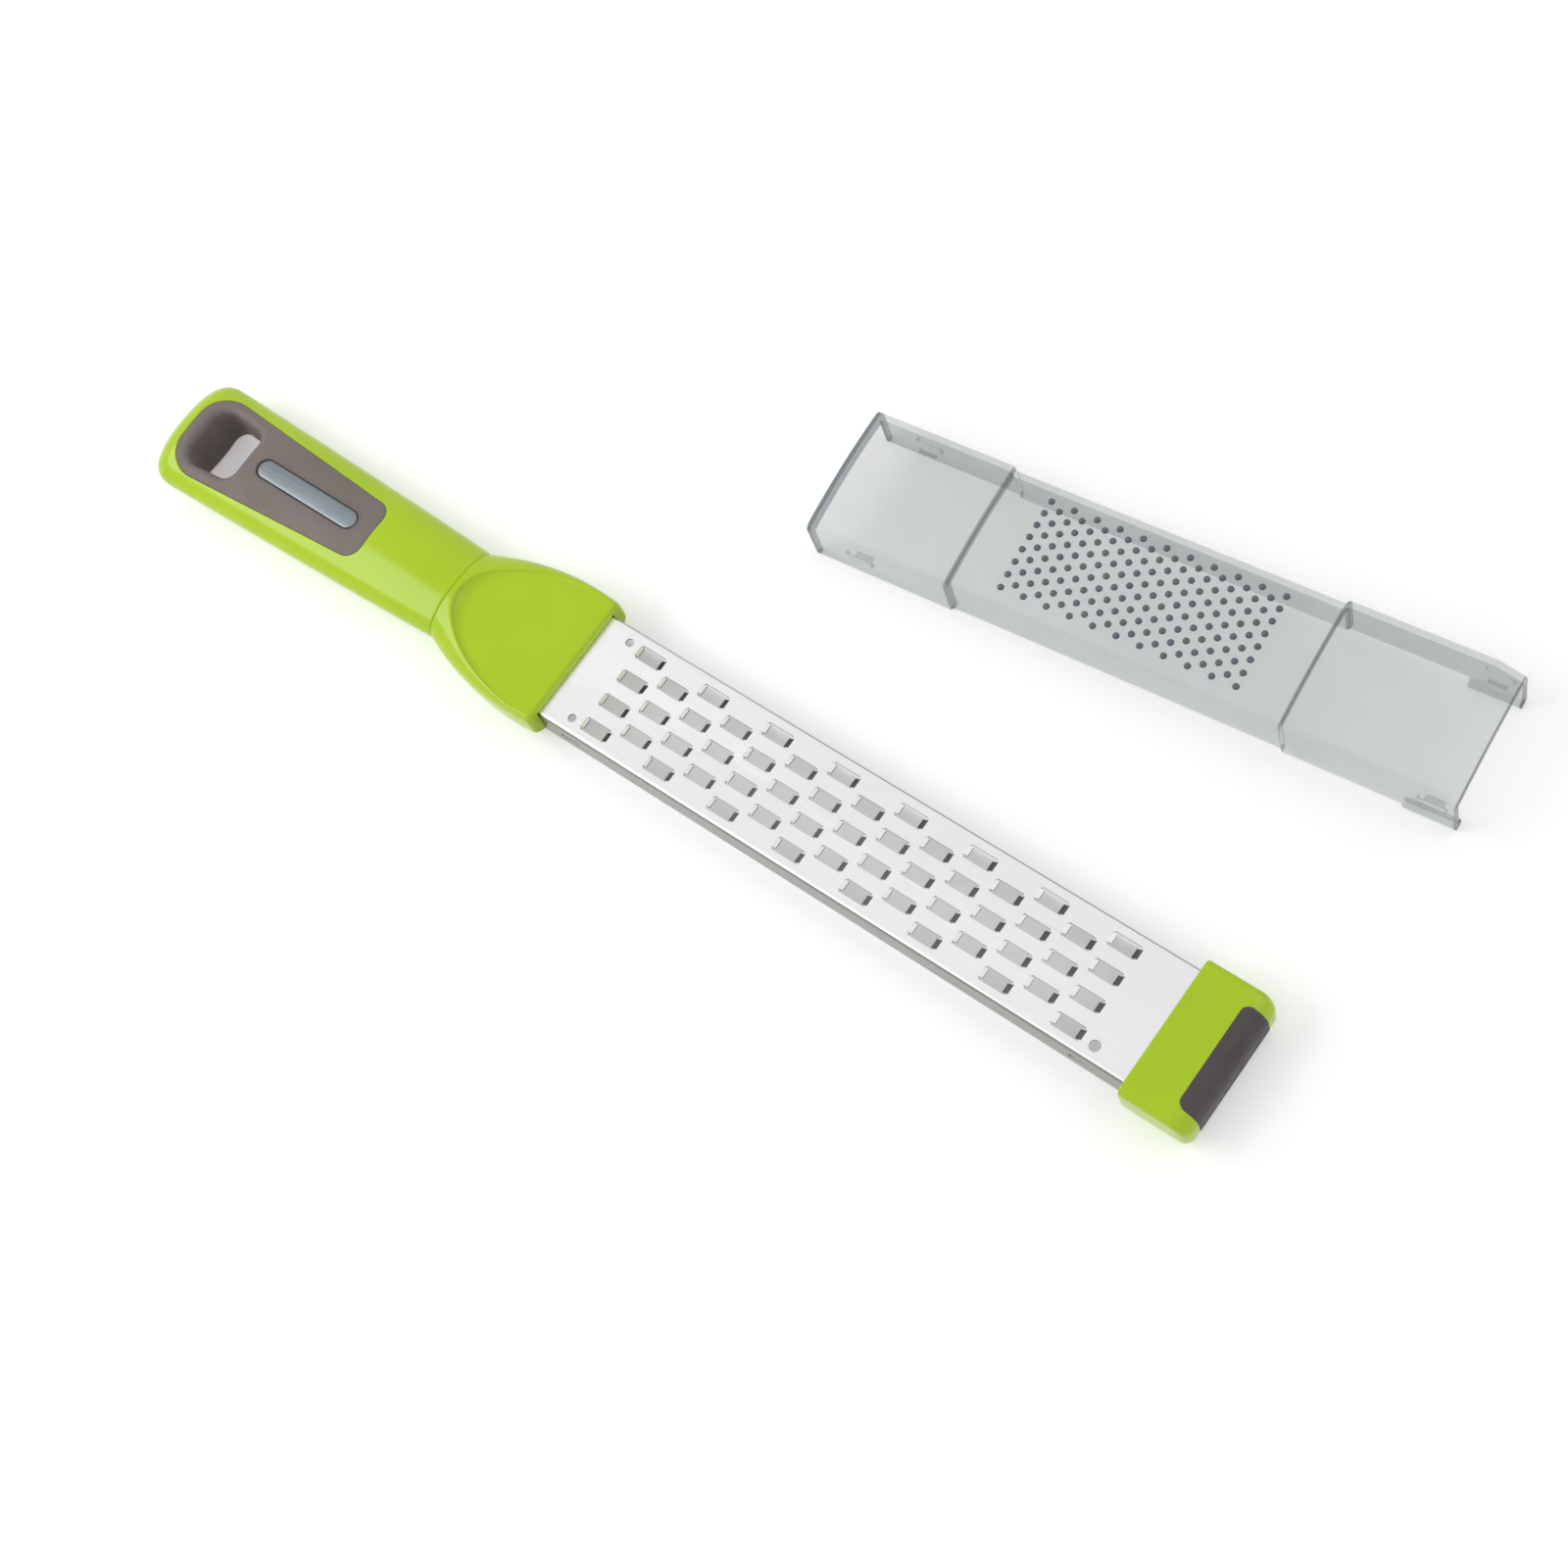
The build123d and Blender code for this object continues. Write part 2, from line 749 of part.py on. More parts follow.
main()
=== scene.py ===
"""Dressed model of a hand rasp zester and the clear cover that lies beside it.

Lengths are in millimetres, in the tool's own frame: the tip cap at +X, the teeth up and the
origin under the cap. Meshes are written in metres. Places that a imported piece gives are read
from its box, and the other sizes are fields of the class that they belong to.
"""

import logging
import math
from collections.abc import Callable
from dataclasses import dataclass, replace
from enum import Enum

import bmesh
import bpy
import numpy as np
from mathutils import Matrix, Vector


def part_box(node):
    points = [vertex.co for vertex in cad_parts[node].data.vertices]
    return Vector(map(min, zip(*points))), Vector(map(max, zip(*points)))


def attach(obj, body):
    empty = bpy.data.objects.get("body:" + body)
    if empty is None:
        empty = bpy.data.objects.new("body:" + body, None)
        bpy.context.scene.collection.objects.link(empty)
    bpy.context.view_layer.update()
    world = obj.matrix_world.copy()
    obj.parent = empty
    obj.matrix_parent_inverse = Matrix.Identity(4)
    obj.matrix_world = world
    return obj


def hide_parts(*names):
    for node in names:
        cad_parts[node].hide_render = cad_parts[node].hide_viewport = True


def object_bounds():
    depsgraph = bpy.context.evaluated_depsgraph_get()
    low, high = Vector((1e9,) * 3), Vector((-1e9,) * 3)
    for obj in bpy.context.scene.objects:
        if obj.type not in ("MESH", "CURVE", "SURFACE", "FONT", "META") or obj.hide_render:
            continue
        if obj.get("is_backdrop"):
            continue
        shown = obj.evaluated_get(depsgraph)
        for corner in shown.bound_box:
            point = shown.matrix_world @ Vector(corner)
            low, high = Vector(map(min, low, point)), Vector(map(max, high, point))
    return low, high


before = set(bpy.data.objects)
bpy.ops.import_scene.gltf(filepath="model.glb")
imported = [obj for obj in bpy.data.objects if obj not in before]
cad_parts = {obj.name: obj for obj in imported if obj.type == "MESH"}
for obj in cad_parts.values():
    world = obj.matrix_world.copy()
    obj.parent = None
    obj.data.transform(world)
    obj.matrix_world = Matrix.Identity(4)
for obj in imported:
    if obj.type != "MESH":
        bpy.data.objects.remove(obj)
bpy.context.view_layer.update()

log = logging.getLogger("zester")

# Metres in a millimetre
MM = 0.001
# Distance within which points are merged, in millimetres
MERGE = 0.002
# Edges that turn by more than this stay crisp
SHARP_ANGLE = math.radians(32)
# Halvings that find where a ray leaves an outline, and a distance that is surely outside
BISECTIONS = 48
OUTSIDE = 48.0
# How far a cutter passes the faces that it cuts
OVER = 1.0
# Power at which a superellipse is a true ellipse
ELLIPSE = 2.0
# Range that most values of a noise fall in
NOISE_RANGE = (0.3, 0.7)
WHITE = (1.0, 1.0, 1.0, 1.0)
BLACK = (0.0, 0.0, 0.0, 1.0)

# What a node's input takes
Feed = float | tuple | bpy.types.NodeSocket
# Half width of an outline at X
Outline = Callable[[np.ndarray], np.ndarray]


class Slot(Enum):
    """Material slots of the record that the pieces take their finish from."""

    STEEL = "blade_steel"
    LIME = "lime_plastic"
    GRIP = "grip_rubber"
    FOOT = "foot_rubber"
    BADGE = "badge_metal"
    INNER = "inner_plastic"
    SCREW = "screw_steel"
    COVER = "cover_plastic"


class Body(Enum):
    """Bodies that the pieces ride on."""

    ZESTER = "zester"
    COVER = "cover"


class Carving(Enum):
    """What a cutter does to the piece that it meets."""

    CUT = "DIFFERENCE"
    JOIN = "UNION"


class Axis(Enum):
    """Axes of a clear piece's own frame, by number."""

    LENGTH = 0
    WIDTH = 1


# Numbers on arrays


def span(node: str) -> np.ndarray:
    """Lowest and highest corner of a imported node, in millimetres."""
    return np.array([list(corner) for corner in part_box(node)]) / MM


def ease(share: np.ndarray) -> np.ndarray:
    """A smooth rise from 0 to 1: three times the square less twice the cube."""
    held = np.clip(share, 0.0, 1.0)
    return held * held * (3 - 2 * held)


def corner_drop(distance: np.ndarray, radius: float) -> np.ndarray:
    """How far a rounded edge has fallen at a distance from that edge.

    The fall is the radius less the height of its circle, and nothing past the round.

    Args:
        distance: How far each point lies inside the edge.
        radius: Radius of the round.

    Returns:
        The fall at each point.
    """
    short = np.clip(radius - distance, 0.0, radius)
    return radius - np.sqrt(radius * radius - short * short)


def rounded_rise(offset: np.ndarray, half: np.ndarray, power: np.ndarray) -> np.ndarray:
    """Height share of a superellipse: the power's root of 1 less the offset's share to the power.

    Args:
        offset: Distance from the middle line.
        half: Half width at that place.
        power: Roundness, 2 for an ellipse and more for a boxier form.

    Returns:
        A share from 0 at the edge to 1 in the middle.
    """
    share = np.clip(np.abs(offset) / np.maximum(half, MERGE * MM), 0.0, 1.0)
    return (1 - share**power) ** (1 / power)


def reach(origin: np.ndarray, along: np.ndarray, across: np.ndarray, half_width: Outline) -> np.ndarray:
    """Distance at which each plan ray leaves an outline, found by halving the span that holds it.

    Args:
        origin: X of each ray's start on the middle line.
        along: X part of each ray's direction.
        across: Y part of each ray's direction.
        half_width: Function that gives the outline's half width at X, 0 past its ends.

    Returns:
        The distance along each ray.
    """
    near = np.zeros(np.broadcast(origin, along).shape)
    far = np.full(near.shape, OUTSIDE)
    for _ in range(BISECTIONS):
        middle = (near + far) / 2
        inside = np.abs(across * middle) < half_width(origin + along * middle)
        near = np.where(inside, middle, near)
        far = np.where(inside, far, middle)
    return near


def stacked(x: np.ndarray, y: np.ndarray, z: np.ndarray) -> np.ndarray:
    """One array of points from three arrays of coordinates."""
    return np.stack(np.broadcast_arrays(x, y, z), axis=-1).astype(float)


def mirrored(points: np.ndarray) -> np.ndarray:
    """The same points on the other side of the middle plane."""
    return points * [1.0, -1.0, 1.0]


def edged(low: float, high: float, near: np.ndarray, steps: int) -> np.ndarray:
    """Places on a line, at given distances from both its ends and evenly spaced between them.

    Args:
        low: Where the line starts.
        high: Where it ends.
        near: Distances from each end, rising from 0.
        steps: How many even places there are, with the last near one at either end.

    Returns:
        The places, in rising order.
    """
    between = np.linspace(low + near[-1], high - near[-1], steps)[1:-1]
    return np.concatenate([low + near, between, high - near[::-1]])


def stadium(x0: float, x1: float, half: float, turns: int = 14, straights: int = 12) -> np.ndarray:
    """A round-ended plan loop: a half circle about each end's centre and two straight sides.

    Args:
        x0: X of one end.
        x1: X of the other end.
        half: Half width, which is also the radius of the ends.
        turns: Steps in each half circle.
        straights: Steps on each side.

    Returns:
        Points (count, 2) anticlockwise.
    """
    bend = np.linspace(-math.pi / 2, math.pi / 2, turns + 1)
    side = np.linspace(x1 - half, x0 + half, straights + 1)[1:-1]
    right = np.stack([x1 - half + half * np.cos(bend), half * np.sin(bend)], axis=-1)
    left = np.stack([x0 + half - half * np.cos(bend), -half * np.sin(bend)], axis=-1)
    upper = np.stack([side, np.full(side.shape, half)], axis=-1)
    lower = np.stack([side[::-1], np.full(side.shape, -half)], axis=-1)
    return np.concatenate([right, upper, left, lower])


def rounded_loop(x0: float, x1: float, half: float, near: float, far: float, steps: int = 8) -> np.ndarray:
    """A plan rectangle whose two ends have corners of different radius, as quarter circles.

    Args:
        x0: X of the low end.
        x1: X of the high end.
        half: Half width.
        near: Corner radius at the low end.
        far: Corner radius at the high end.
        steps: Steps in each corner.

    Returns:
        Points (count, 2) anticlockwise.
    """
    corners = [(x1, -1, far, -90), (x1, 1, far, 0), (x0, 1, near, 90), (x0, -1, near, 180)]
    loops = []
    for x, side, radius, start in corners:
        turn = np.radians(np.linspace(start, start + 90, steps + 1))
        centre = x - radius if x == x1 else x + radius
        middle = side * (half - radius)
        loops.append(np.stack([centre + radius * np.cos(turn), middle + radius * np.sin(turn)], axis=-1))
    return np.concatenate(loops)


# Meshes


@dataclass
class Patch:
    """A grid of points, as (rows, columns, 3), and how its faces close."""

    points: np.ndarray
    loop_rows: bool = False
    loop_columns: bool = False
    capped: bool = False

    def faces(self, first: int) -> list:
        """Quads between neighbouring points, numbered from a first vertex.

        Args:
            first: Number of the patch's first vertex in the whole mesh.

        Returns:
            Faces as lists of vertex numbers, with the two end loops if the patch is capped.
        """
        rows, columns = self.points.shape[:2]
        grid = first + np.arange(rows * columns).reshape(rows, columns)
        index = np.vstack([grid, grid[:1]]) if self.loop_rows else grid
        index = np.hstack([index, index[:, :1]]) if self.loop_columns else index
        quads = np.stack([index[:-1, :-1], index[:-1, 1:], index[1:, 1:], index[1:, :-1]], axis=-1)
        made = quads.reshape(-1, 4).tolist()
        if self.capped:
            made += [grid[0].tolist(), grid[-1].tolist()]
        return made


def mesh_object(name: str, patches: list) -> bpy.types.Object:
    """Make one closed, smooth mesh from patches that meet at their borders.

    Points that fall together are merged, faces are turned outwards, and edges that turn by
    more than the sharp angle stay crisp.

    Args:
        name: Name of the piece.
        patches: The patches, in millimetres.

    Returns:
        The new object, at the origin.
    """
    points, faces, count = [], [], 0
    for patch in patches:
        faces += patch.faces(count)
        points.append(patch.points.reshape(-1, 3))
        count += len(points[-1])
    mesh = bpy.data.meshes.new(name)
    mesh.from_pydata((np.concatenate(points) * MM).tolist(), [], faces)
    work = bmesh.new()
    work.from_mesh(mesh)
    bmesh.ops.remove_doubles(work, verts=work.verts, dist=MERGE * MM)
    bmesh.ops.recalc_face_normals(work, faces=work.faces)
    work.to_mesh(mesh)
    work.free()
    obj = bpy.data.objects.new(name, mesh)
    bpy.context.scene.collection.objects.link(obj)
    smooth(obj)
    return obj


def smooth(obj: bpy.types.Object) -> None:
    """Shade a piece smooth, with its sharp edges kept."""
    obj.data.shade_smooth()
    obj.data.set_sharp_from_angle(angle=SHARP_ANGLE)


def folded(upper: np.ndarray, lower: np.ndarray) -> np.ndarray:
    """Closed rows from the +Y half of an upper and a lower surface over the same plan points.

    The lower rows follow in reverse, and the columns go on as their own mirror image, from
    the middle line back to it.

    Args:
        upper: Grid of the upper surface.
        lower: Grid of the lower surface.

    Returns:
        One grid that closes in both directions.
    """
    half = np.concatenate([upper, lower[::-1]])
    return np.concatenate([half, mirrored(half[:, -2:0:-1])], axis=1)


def slab(top: np.ndarray, bottom: np.ndarray) -> list:
    """A closed plate between two grids of the same size, with walls along its four borders.

    Args:
        top: Grid of the outer face.
        bottom: Grid of the inner face.

    Returns:
        The patches of both faces and of the walls.
    """
    patches = [Patch(top), Patch(bottom)]
    for border in (np.s_[0], np.s_[-1], np.s_[:, 0], np.s_[:, -1]):
        patches.append(Patch(np.stack([top[border], bottom[border]])))
    return patches


def block(name: str, low: tuple, high: tuple) -> bpy.types.Object:
    """A box between two corners, used as a cutter.

    Args:
        name: Name of the cutter.
        low: Its lowest corner.
        high: Its highest corner.

    Returns:
        The closed box.
    """
    loop = rounded_loop(low[0], high[0], 1.0, 0.0, 0.0, 1)[::2]
    loop[:, 1] = np.where(loop[:, 1] > 0, high[1], low[1])
    rows = [stacked(loop[:, 0], loop[:, 1], z) for z in (low[2], high[2])]
    return mesh_object(name, [Patch(np.stack(rows), loop_columns=True, capped=True)])


def carve(obj: bpy.types.Object, cutters: list, carving: Carving = Carving.CUT) -> None:
    """Cut pieces from an object, or join them to it, and keep the result as its mesh.

    Args:
        obj: The piece that changes.
        cutters: Closed objects, which are removed afterwards.
        carving: Whether they are cut away or joined on.
    """
    for cutter in cutters:
        modifier = obj.modifiers.new(cutter.name, "BOOLEAN")
        modifier.operation = carving.value
        modifier.solver = "EXACT"
        modifier.object = cutter
    bpy.context.view_layer.update()
    evaluated = obj.evaluated_get(bpy.context.evaluated_depsgraph_get())
    before, obj.data = obj.data, bpy.data.meshes.new_from_object(evaluated)
    obj.modifiers.clear()
    obj.data.name = obj.name
    bpy.data.meshes.remove(before)
    for cutter in cutters:
        bpy.data.objects.remove(cutter)
    smooth(obj)


def settle(obj: bpy.types.Object, body: Body, slot: Slot, finish: bpy.types.Material, *nodes: str) -> None:
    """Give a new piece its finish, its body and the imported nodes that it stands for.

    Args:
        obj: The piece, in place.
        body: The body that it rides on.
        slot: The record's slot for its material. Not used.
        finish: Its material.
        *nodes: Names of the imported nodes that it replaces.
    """
    obj.data.materials.clear()
    obj.data.materials.append(finish)
    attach(obj, body.value)
    if nodes:
        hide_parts(*nodes)
    log.info("%s: %d faces, rides on %s", obj.name, len(obj.data.polygons), body.value)


def dress(node: str, slot: Slot, finish: bpy.types.Material) -> None:
    """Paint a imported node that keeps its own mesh.

    Args:
        node: Name of the node.
        slot: The record's slot for its material.
        finish: Its material.
    """
    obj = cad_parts[node]
    obj.data.materials.clear()
    obj.data.materials.append(finish)
    log.info("%s: packed mesh, %s", node, slot.value)


# Finishes


class Shading:
    """A node tree that is filled from code: a material, a group or the world's."""

    def __init__(self, tree: bpy.types.NodeTree) -> None:
        """Keep the tree that the nodes go into."""
        self.tree = tree

    def add(self, kind: str, settings: dict | None = None, **inputs: Feed) -> bpy.types.Node:
        """Add a node, set its properties, and set or link its inputs.

        Args:
            kind: Type of the node.
            settings: Properties by name.
            **inputs: Values or output sockets by input name, with underscores for spaces, or
                by i and the input's number.

        Returns:
            The new node.
        """
        node = self.tree.nodes.new(kind)
        for key, value in (settings or {}).items():
            setattr(node, key, value)
        for key, value in inputs.items():
            name = key.replace("_", " ").strip()
            place = node.inputs[int(name[1:])] if name[1:].isdigit() else node.inputs[name]
            if isinstance(value, bpy.types.NodeSocket):
                self.tree.links.new(value, place)
            else:
                place.default_value = value
        return node

    def math(
        self, operation: str, first: Feed, second: Feed = 0.0, clamped: bool = False,
    ) -> bpy.types.NodeSocket:
        """Result of one sum on values or sockets."""
        settings = {"operation": operation, "use_clamp": clamped}
        return self.add("ShaderNodeMath", settings, i0=first, i1=second).outputs[0]

    def mixed(self, share: Feed, low: Feed, high: Feed) -> bpy.types.NodeSocket:
        """A colour between two colours."""
        node = self.add("ShaderNodeMix", {"data_type": "RGBA"}, i0=share, i6=low, i7=high)
        return node.outputs[2]

    def ranged(
        self, value: Feed, source: tuple, target: tuple, smooth_step: bool = False,
    ) -> bpy.types.NodeSocket:
        """A value moved from one range to another, held at its ends.

        Args:
            value: The value.
            source: Range that it comes in.
            target: Range that it is moved to.
            smooth_step: Whether it eases in and out rather than moving evenly.

        Returns:
            The moved value.
        """
        kind = "SMOOTHSTEP" if smooth_step else "LINEAR"
        node = self.add(
            "ShaderNodeMapRange", {"interpolation_type": kind}, Value=value, From_Min=source[0],
            From_Max=source[1], To_Min=target[0], To_Max=target[1],
        )
        return node.outputs[0]


class Kind(Enum):
    """Types of a group's sockets."""

    VALUE = "NodeSocketFloat"
    COLOUR = "NodeSocketColor"
    VECTOR = "NodeSocketVector"


class Group(Shading):
    """A shader node group with named sockets, which materials share."""

    def __init__(self, name: str, inputs: dict, outputs: dict) -> None:
        """Start the group with its input and output nodes.

        Args:
            name: Name of the group.
            inputs: Socket type and default value by input name.
            outputs: Socket type by output name.
        """
        tree = bpy.data.node_groups.new(name, "ShaderNodeTree")
        for key, (kind, value) in inputs.items():
            socket = tree.interface.new_socket(key, in_out="INPUT", socket_type=kind.value)
            if value is not None:
                socket.default_value = value
        for key, kind in outputs.items():
            tree.interface.new_socket(key, in_out="OUTPUT", socket_type=kind.value)
        super().__init__(tree)
        self.source = tree.nodes.new("NodeGroupInput").outputs
        self.target = tree.nodes.new("NodeGroupOutput").inputs

    def give(self, name: str, result: bpy.types.NodeSocket) -> None:
        """Lead a result to one of the group's outputs."""
        self.tree.links.new(result, self.target[name])


def moulded_group() -> bpy.types.NodeTree:
    """Group for moulded surfaces: slow colour mottle, uneven gloss and a fine grain.

    Three noises of an object-space point drive it: one a few centimetres wide mixes the two
    colours, one a few millimetres wide moves the roughness between its limits, and one a
    fraction of a millimetre wide is the height of a bump.

    Returns:
        The group.
    """
    spots_range, grain_depth = (0.35, 0.65), 0.05 * MM
    group = Group(
        "moulded_surface",
        {
            "Point": (Kind.VECTOR, None), "Deep": (Kind.COLOUR, BLACK), "Pale": (Kind.COLOUR, WHITE),
            "Mottle": (Kind.VALUE, 30.0), "Spots": (Kind.VALUE, 250.0), "Smooth": (Kind.VALUE, 0.2),
            "Rough": (Kind.VALUE, 0.3), "Grain": (Kind.VALUE, 2000.0), "Grain Height": (Kind.VALUE, 0.1),
        },
        {"Color": Kind.COLOUR, "Roughness": Kind.VALUE, "Normal": Kind.VECTOR},
    )
    source = group.source
    mottle = group.add("ShaderNodeTexNoise", Vector=source["Point"], Scale=source["Mottle"], Detail=3.0)
    share = group.ranged(mottle.outputs[0], NOISE_RANGE, (0.0, 1.0), True)
    group.give("Color", group.mixed(share, source["Deep"], source["Pale"]))
    spots = group.add("ShaderNodeTexNoise", Vector=source["Point"], Scale=source["Spots"], Detail=4.0)
    held = group.ranged(spots.outputs[0], spots_range, (0.0, 1.0))
    spread = group.math("SUBTRACT", source["Rough"], source["Smooth"])
    group.give("Roughness", group.math("ADD", source["Smooth"], group.math("MULTIPLY", held, spread)))
    grain = group.add("ShaderNodeTexNoise", Vector=source["Point"], Scale=source["Grain"], Detail=2.0)
    bump = group.add(
        "ShaderNodeBump", Strength=source["Grain Height"], Distance=grain_depth, Height=grain.outputs[0],
    )
    group.give("Normal", bump.outputs[0])
    return group.tree


def rolled_group() -> bpy.types.NodeTree:
    """Group for rolled or brushed metal: fine streaks along one axis of the point it is given.

    The point is stretched along X, so a noise turns to streaks. They move the tone and the
    roughness, and are the height of a bump.

    Returns:
        The group.
    """
    cloud_scale, streak_depth = 60.0, 0.02 * MM
    group = Group(
        "rolled_metal",
        {
            "Point": (Kind.VECTOR, None), "Deep": (Kind.COLOUR, BLACK), "Pale": (Kind.COLOUR, WHITE),
            "Stretch": (Kind.VALUE, 0.03), "Streaks": (Kind.VALUE, 2500.0), "Smooth": (Kind.VALUE, 0.2),
            "Rough": (Kind.VALUE, 0.3), "Depth": (Kind.VALUE, 0.1),
        },
        {"Color": Kind.COLOUR, "Roughness": Kind.VALUE, "Normal": Kind.VECTOR},
    )
    source = group.source
    parts = group.add("ShaderNodeSeparateXYZ", Vector=source["Point"])
    along = group.math("MULTIPLY", parts.outputs[0], source["Stretch"])
    point = group.add("ShaderNodeCombineXYZ", X=along, Y=parts.outputs[1], Z=parts.outputs[2])
    streaks = group.add("ShaderNodeTexNoise", Vector=point.outputs[0], Scale=source["Streaks"], Detail=5.0)
    share = group.ranged(streaks.outputs[0], NOISE_RANGE, (0.0, 1.0))
    clouds = group.add("ShaderNodeTexNoise", Vector=source["Point"], Scale=cloud_scale, Detail=3.0)
    tone = group.math("MULTIPLY", group.math("ADD", share, clouds.outputs[0]), 0.5)
    group.give("Color", group.mixed(tone, source["Deep"], source["Pale"]))
    spread = group.math("SUBTRACT", source["Rough"], source["Smooth"])
    group.give("Roughness", group.math("ADD", source["Smooth"], group.math("MULTIPLY", share, spread)))
    bump = group.add(
        "ShaderNodeBump", Strength=source["Depth"], Distance=streak_depth, Height=streaks.outputs[0],
    )
    group.give("Normal", bump.outputs[0])
    return group.tree


def band_group() -> bpy.types.NodeTree:
    """Group for a soft band across one axis: 1 about a place, falling to 0 half a width from it.

    Returns:
        The group.
    """
    fade_start = 0.6
    group = Group(
        "soft_band",
        {"Value": (Kind.VALUE, 0.0), "Place": (Kind.VALUE, 0.0), "Half Width": (Kind.VALUE, 1.0)},
        {"Mask": Kind.VALUE},
    )
    source = group.source
    distance = group.math("ABSOLUTE", group.math("SUBTRACT", source["Value"], source["Place"]))
    share = group.math("DIVIDE", distance, source["Half Width"])
    group.give("Mask", group.ranged(share, (fade_start, 1.0), (1.0, 0.0), True))
    return group.tree


def start_material(name: str) -> tuple:
    """An empty material, its tree and its object-space point.

    Args:
        name: Name of the material.

    Returns:
        The material, its Shading, its output node and the object coordinates' socket.
    """
    material = bpy.data.materials.new(name)
    material.use_nodes = True
    material.node_tree.nodes.clear()
    shading = Shading(material.node_tree)
    output = shading.add("ShaderNodeOutputMaterial")
    point = shading.add("ShaderNodeTexCoord").outputs["Object"]
    return material, shading, output, point


@dataclass(frozen=True)
class MouldedFinish:
    """A moulded plastic or rubber surface."""

    name: str
    deep: tuple
    pale: tuple
    smooth: float
    rough: float
    grain: float = 2500.0
    grain_height: float = 0.1
    mottle: float = 25.0
    spots: float = 200.0
    specular: float = 0.5
    coat: float = 0.0
    coat_roughness: float = 0.05

    def material(self) -> bpy.types.Material:
        """Build the material around the shared moulded group.

        Returns:
            The material.
        """
        material, shading, output, point = start_material(self.name)
        surface = shading.add(
            "ShaderNodeGroup", {"node_tree": bpy.data.node_groups["moulded_surface"]}, Point=point,
            Deep=(*self.deep, 1.0), Pale=(*self.pale, 1.0), Mottle=self.mottle, Spots=self.spots,
            Smooth=self.smooth, Rough=self.rough, Grain=self.grain, Grain_Height=self.grain_height,
        ).outputs
        shader = shading.add(
            "ShaderNodeBsdfPrincipled", Base_Color=surface["Color"], Roughness=surface["Roughness"],
            Normal=surface["Normal"], Specular_IOR_Level=self.specular, Coat_Weight=self.coat,
            Coat_Roughness=self.coat_roughness,
        )
        shading.tree.links.new(shader.outputs[0], output.inputs[0])
        return material


@dataclass(frozen=True)
class MetalFinish:
    """Rolled sheet or a bright machined part."""

    name: str
    deep: tuple
    pale: tuple
    smooth: float
    rough: float
    streaks: float = 2500.0
    stretch: float = 0.03
    depth: float = 0.1
    anisotropic: float = 0.0
    # Colour of painted shade on leaning faces, and the range of upright normal over which it comes in
    painted_shade_colour: tuple = ()
    shade_lean_range: tuple = (0.0, 1.0)

    def material(self) -> bpy.types.Material:
        """Build the material around the shared rolled metal group.

        Where a painted shade colour is given, faces that lean take it as painted shade: it comes in
        as the upright part of the piece's own normal falls through a range. On the blade it darkens
        the punched tabs, cut walls and side flanges in place of their shade and dark reflections.

        Returns:
            The material.
        """
        material, shading, output, point = start_material(self.name)
        surface = shading.add(
            "ShaderNodeGroup", {"node_tree": bpy.data.node_groups["rolled_metal"]}, Point=point,
            Deep=(*self.deep, 1.0), Pale=(*self.pale, 1.0), Stretch=self.stretch, Streaks=self.streaks,
            Smooth=self.smooth, Rough=self.rough, Depth=self.depth,
        ).outputs
        colour = surface["Color"]
        # Painted shade: faces that lean take the darker colour, for the shade and dark reflections on them
        if self.painted_shade_colour:
            normal = shading.add("ShaderNodeTexCoord").outputs["Normal"]
            height = shading.add("ShaderNodeSeparateXYZ", Vector=normal).outputs[2]
            shade_share = shading.ranged(shading.math("ABSOLUTE", height), self.shade_lean_range, (1.0, 0.0), True)
            colour = shading.mixed(shade_share, colour, (*self.painted_shade_colour, 1.0))
        shader = shading.add(
            "ShaderNodeBsdfPrincipled", Base_Color=colour, Roughness=surface["Roughness"],
            Normal=surface["Normal"], Metallic=1.0, Anisotropic=self.anisotropic,
        )
        shading.tree.links.new(shader.outputs[0], output.inputs[0])
        return material


@dataclass(frozen=True)
class Band:
    """A band of painted shade across one axis of a clear piece, in the piece's own frame."""

    axis: Axis
    place: float
    half: float
    share: float = 1.0


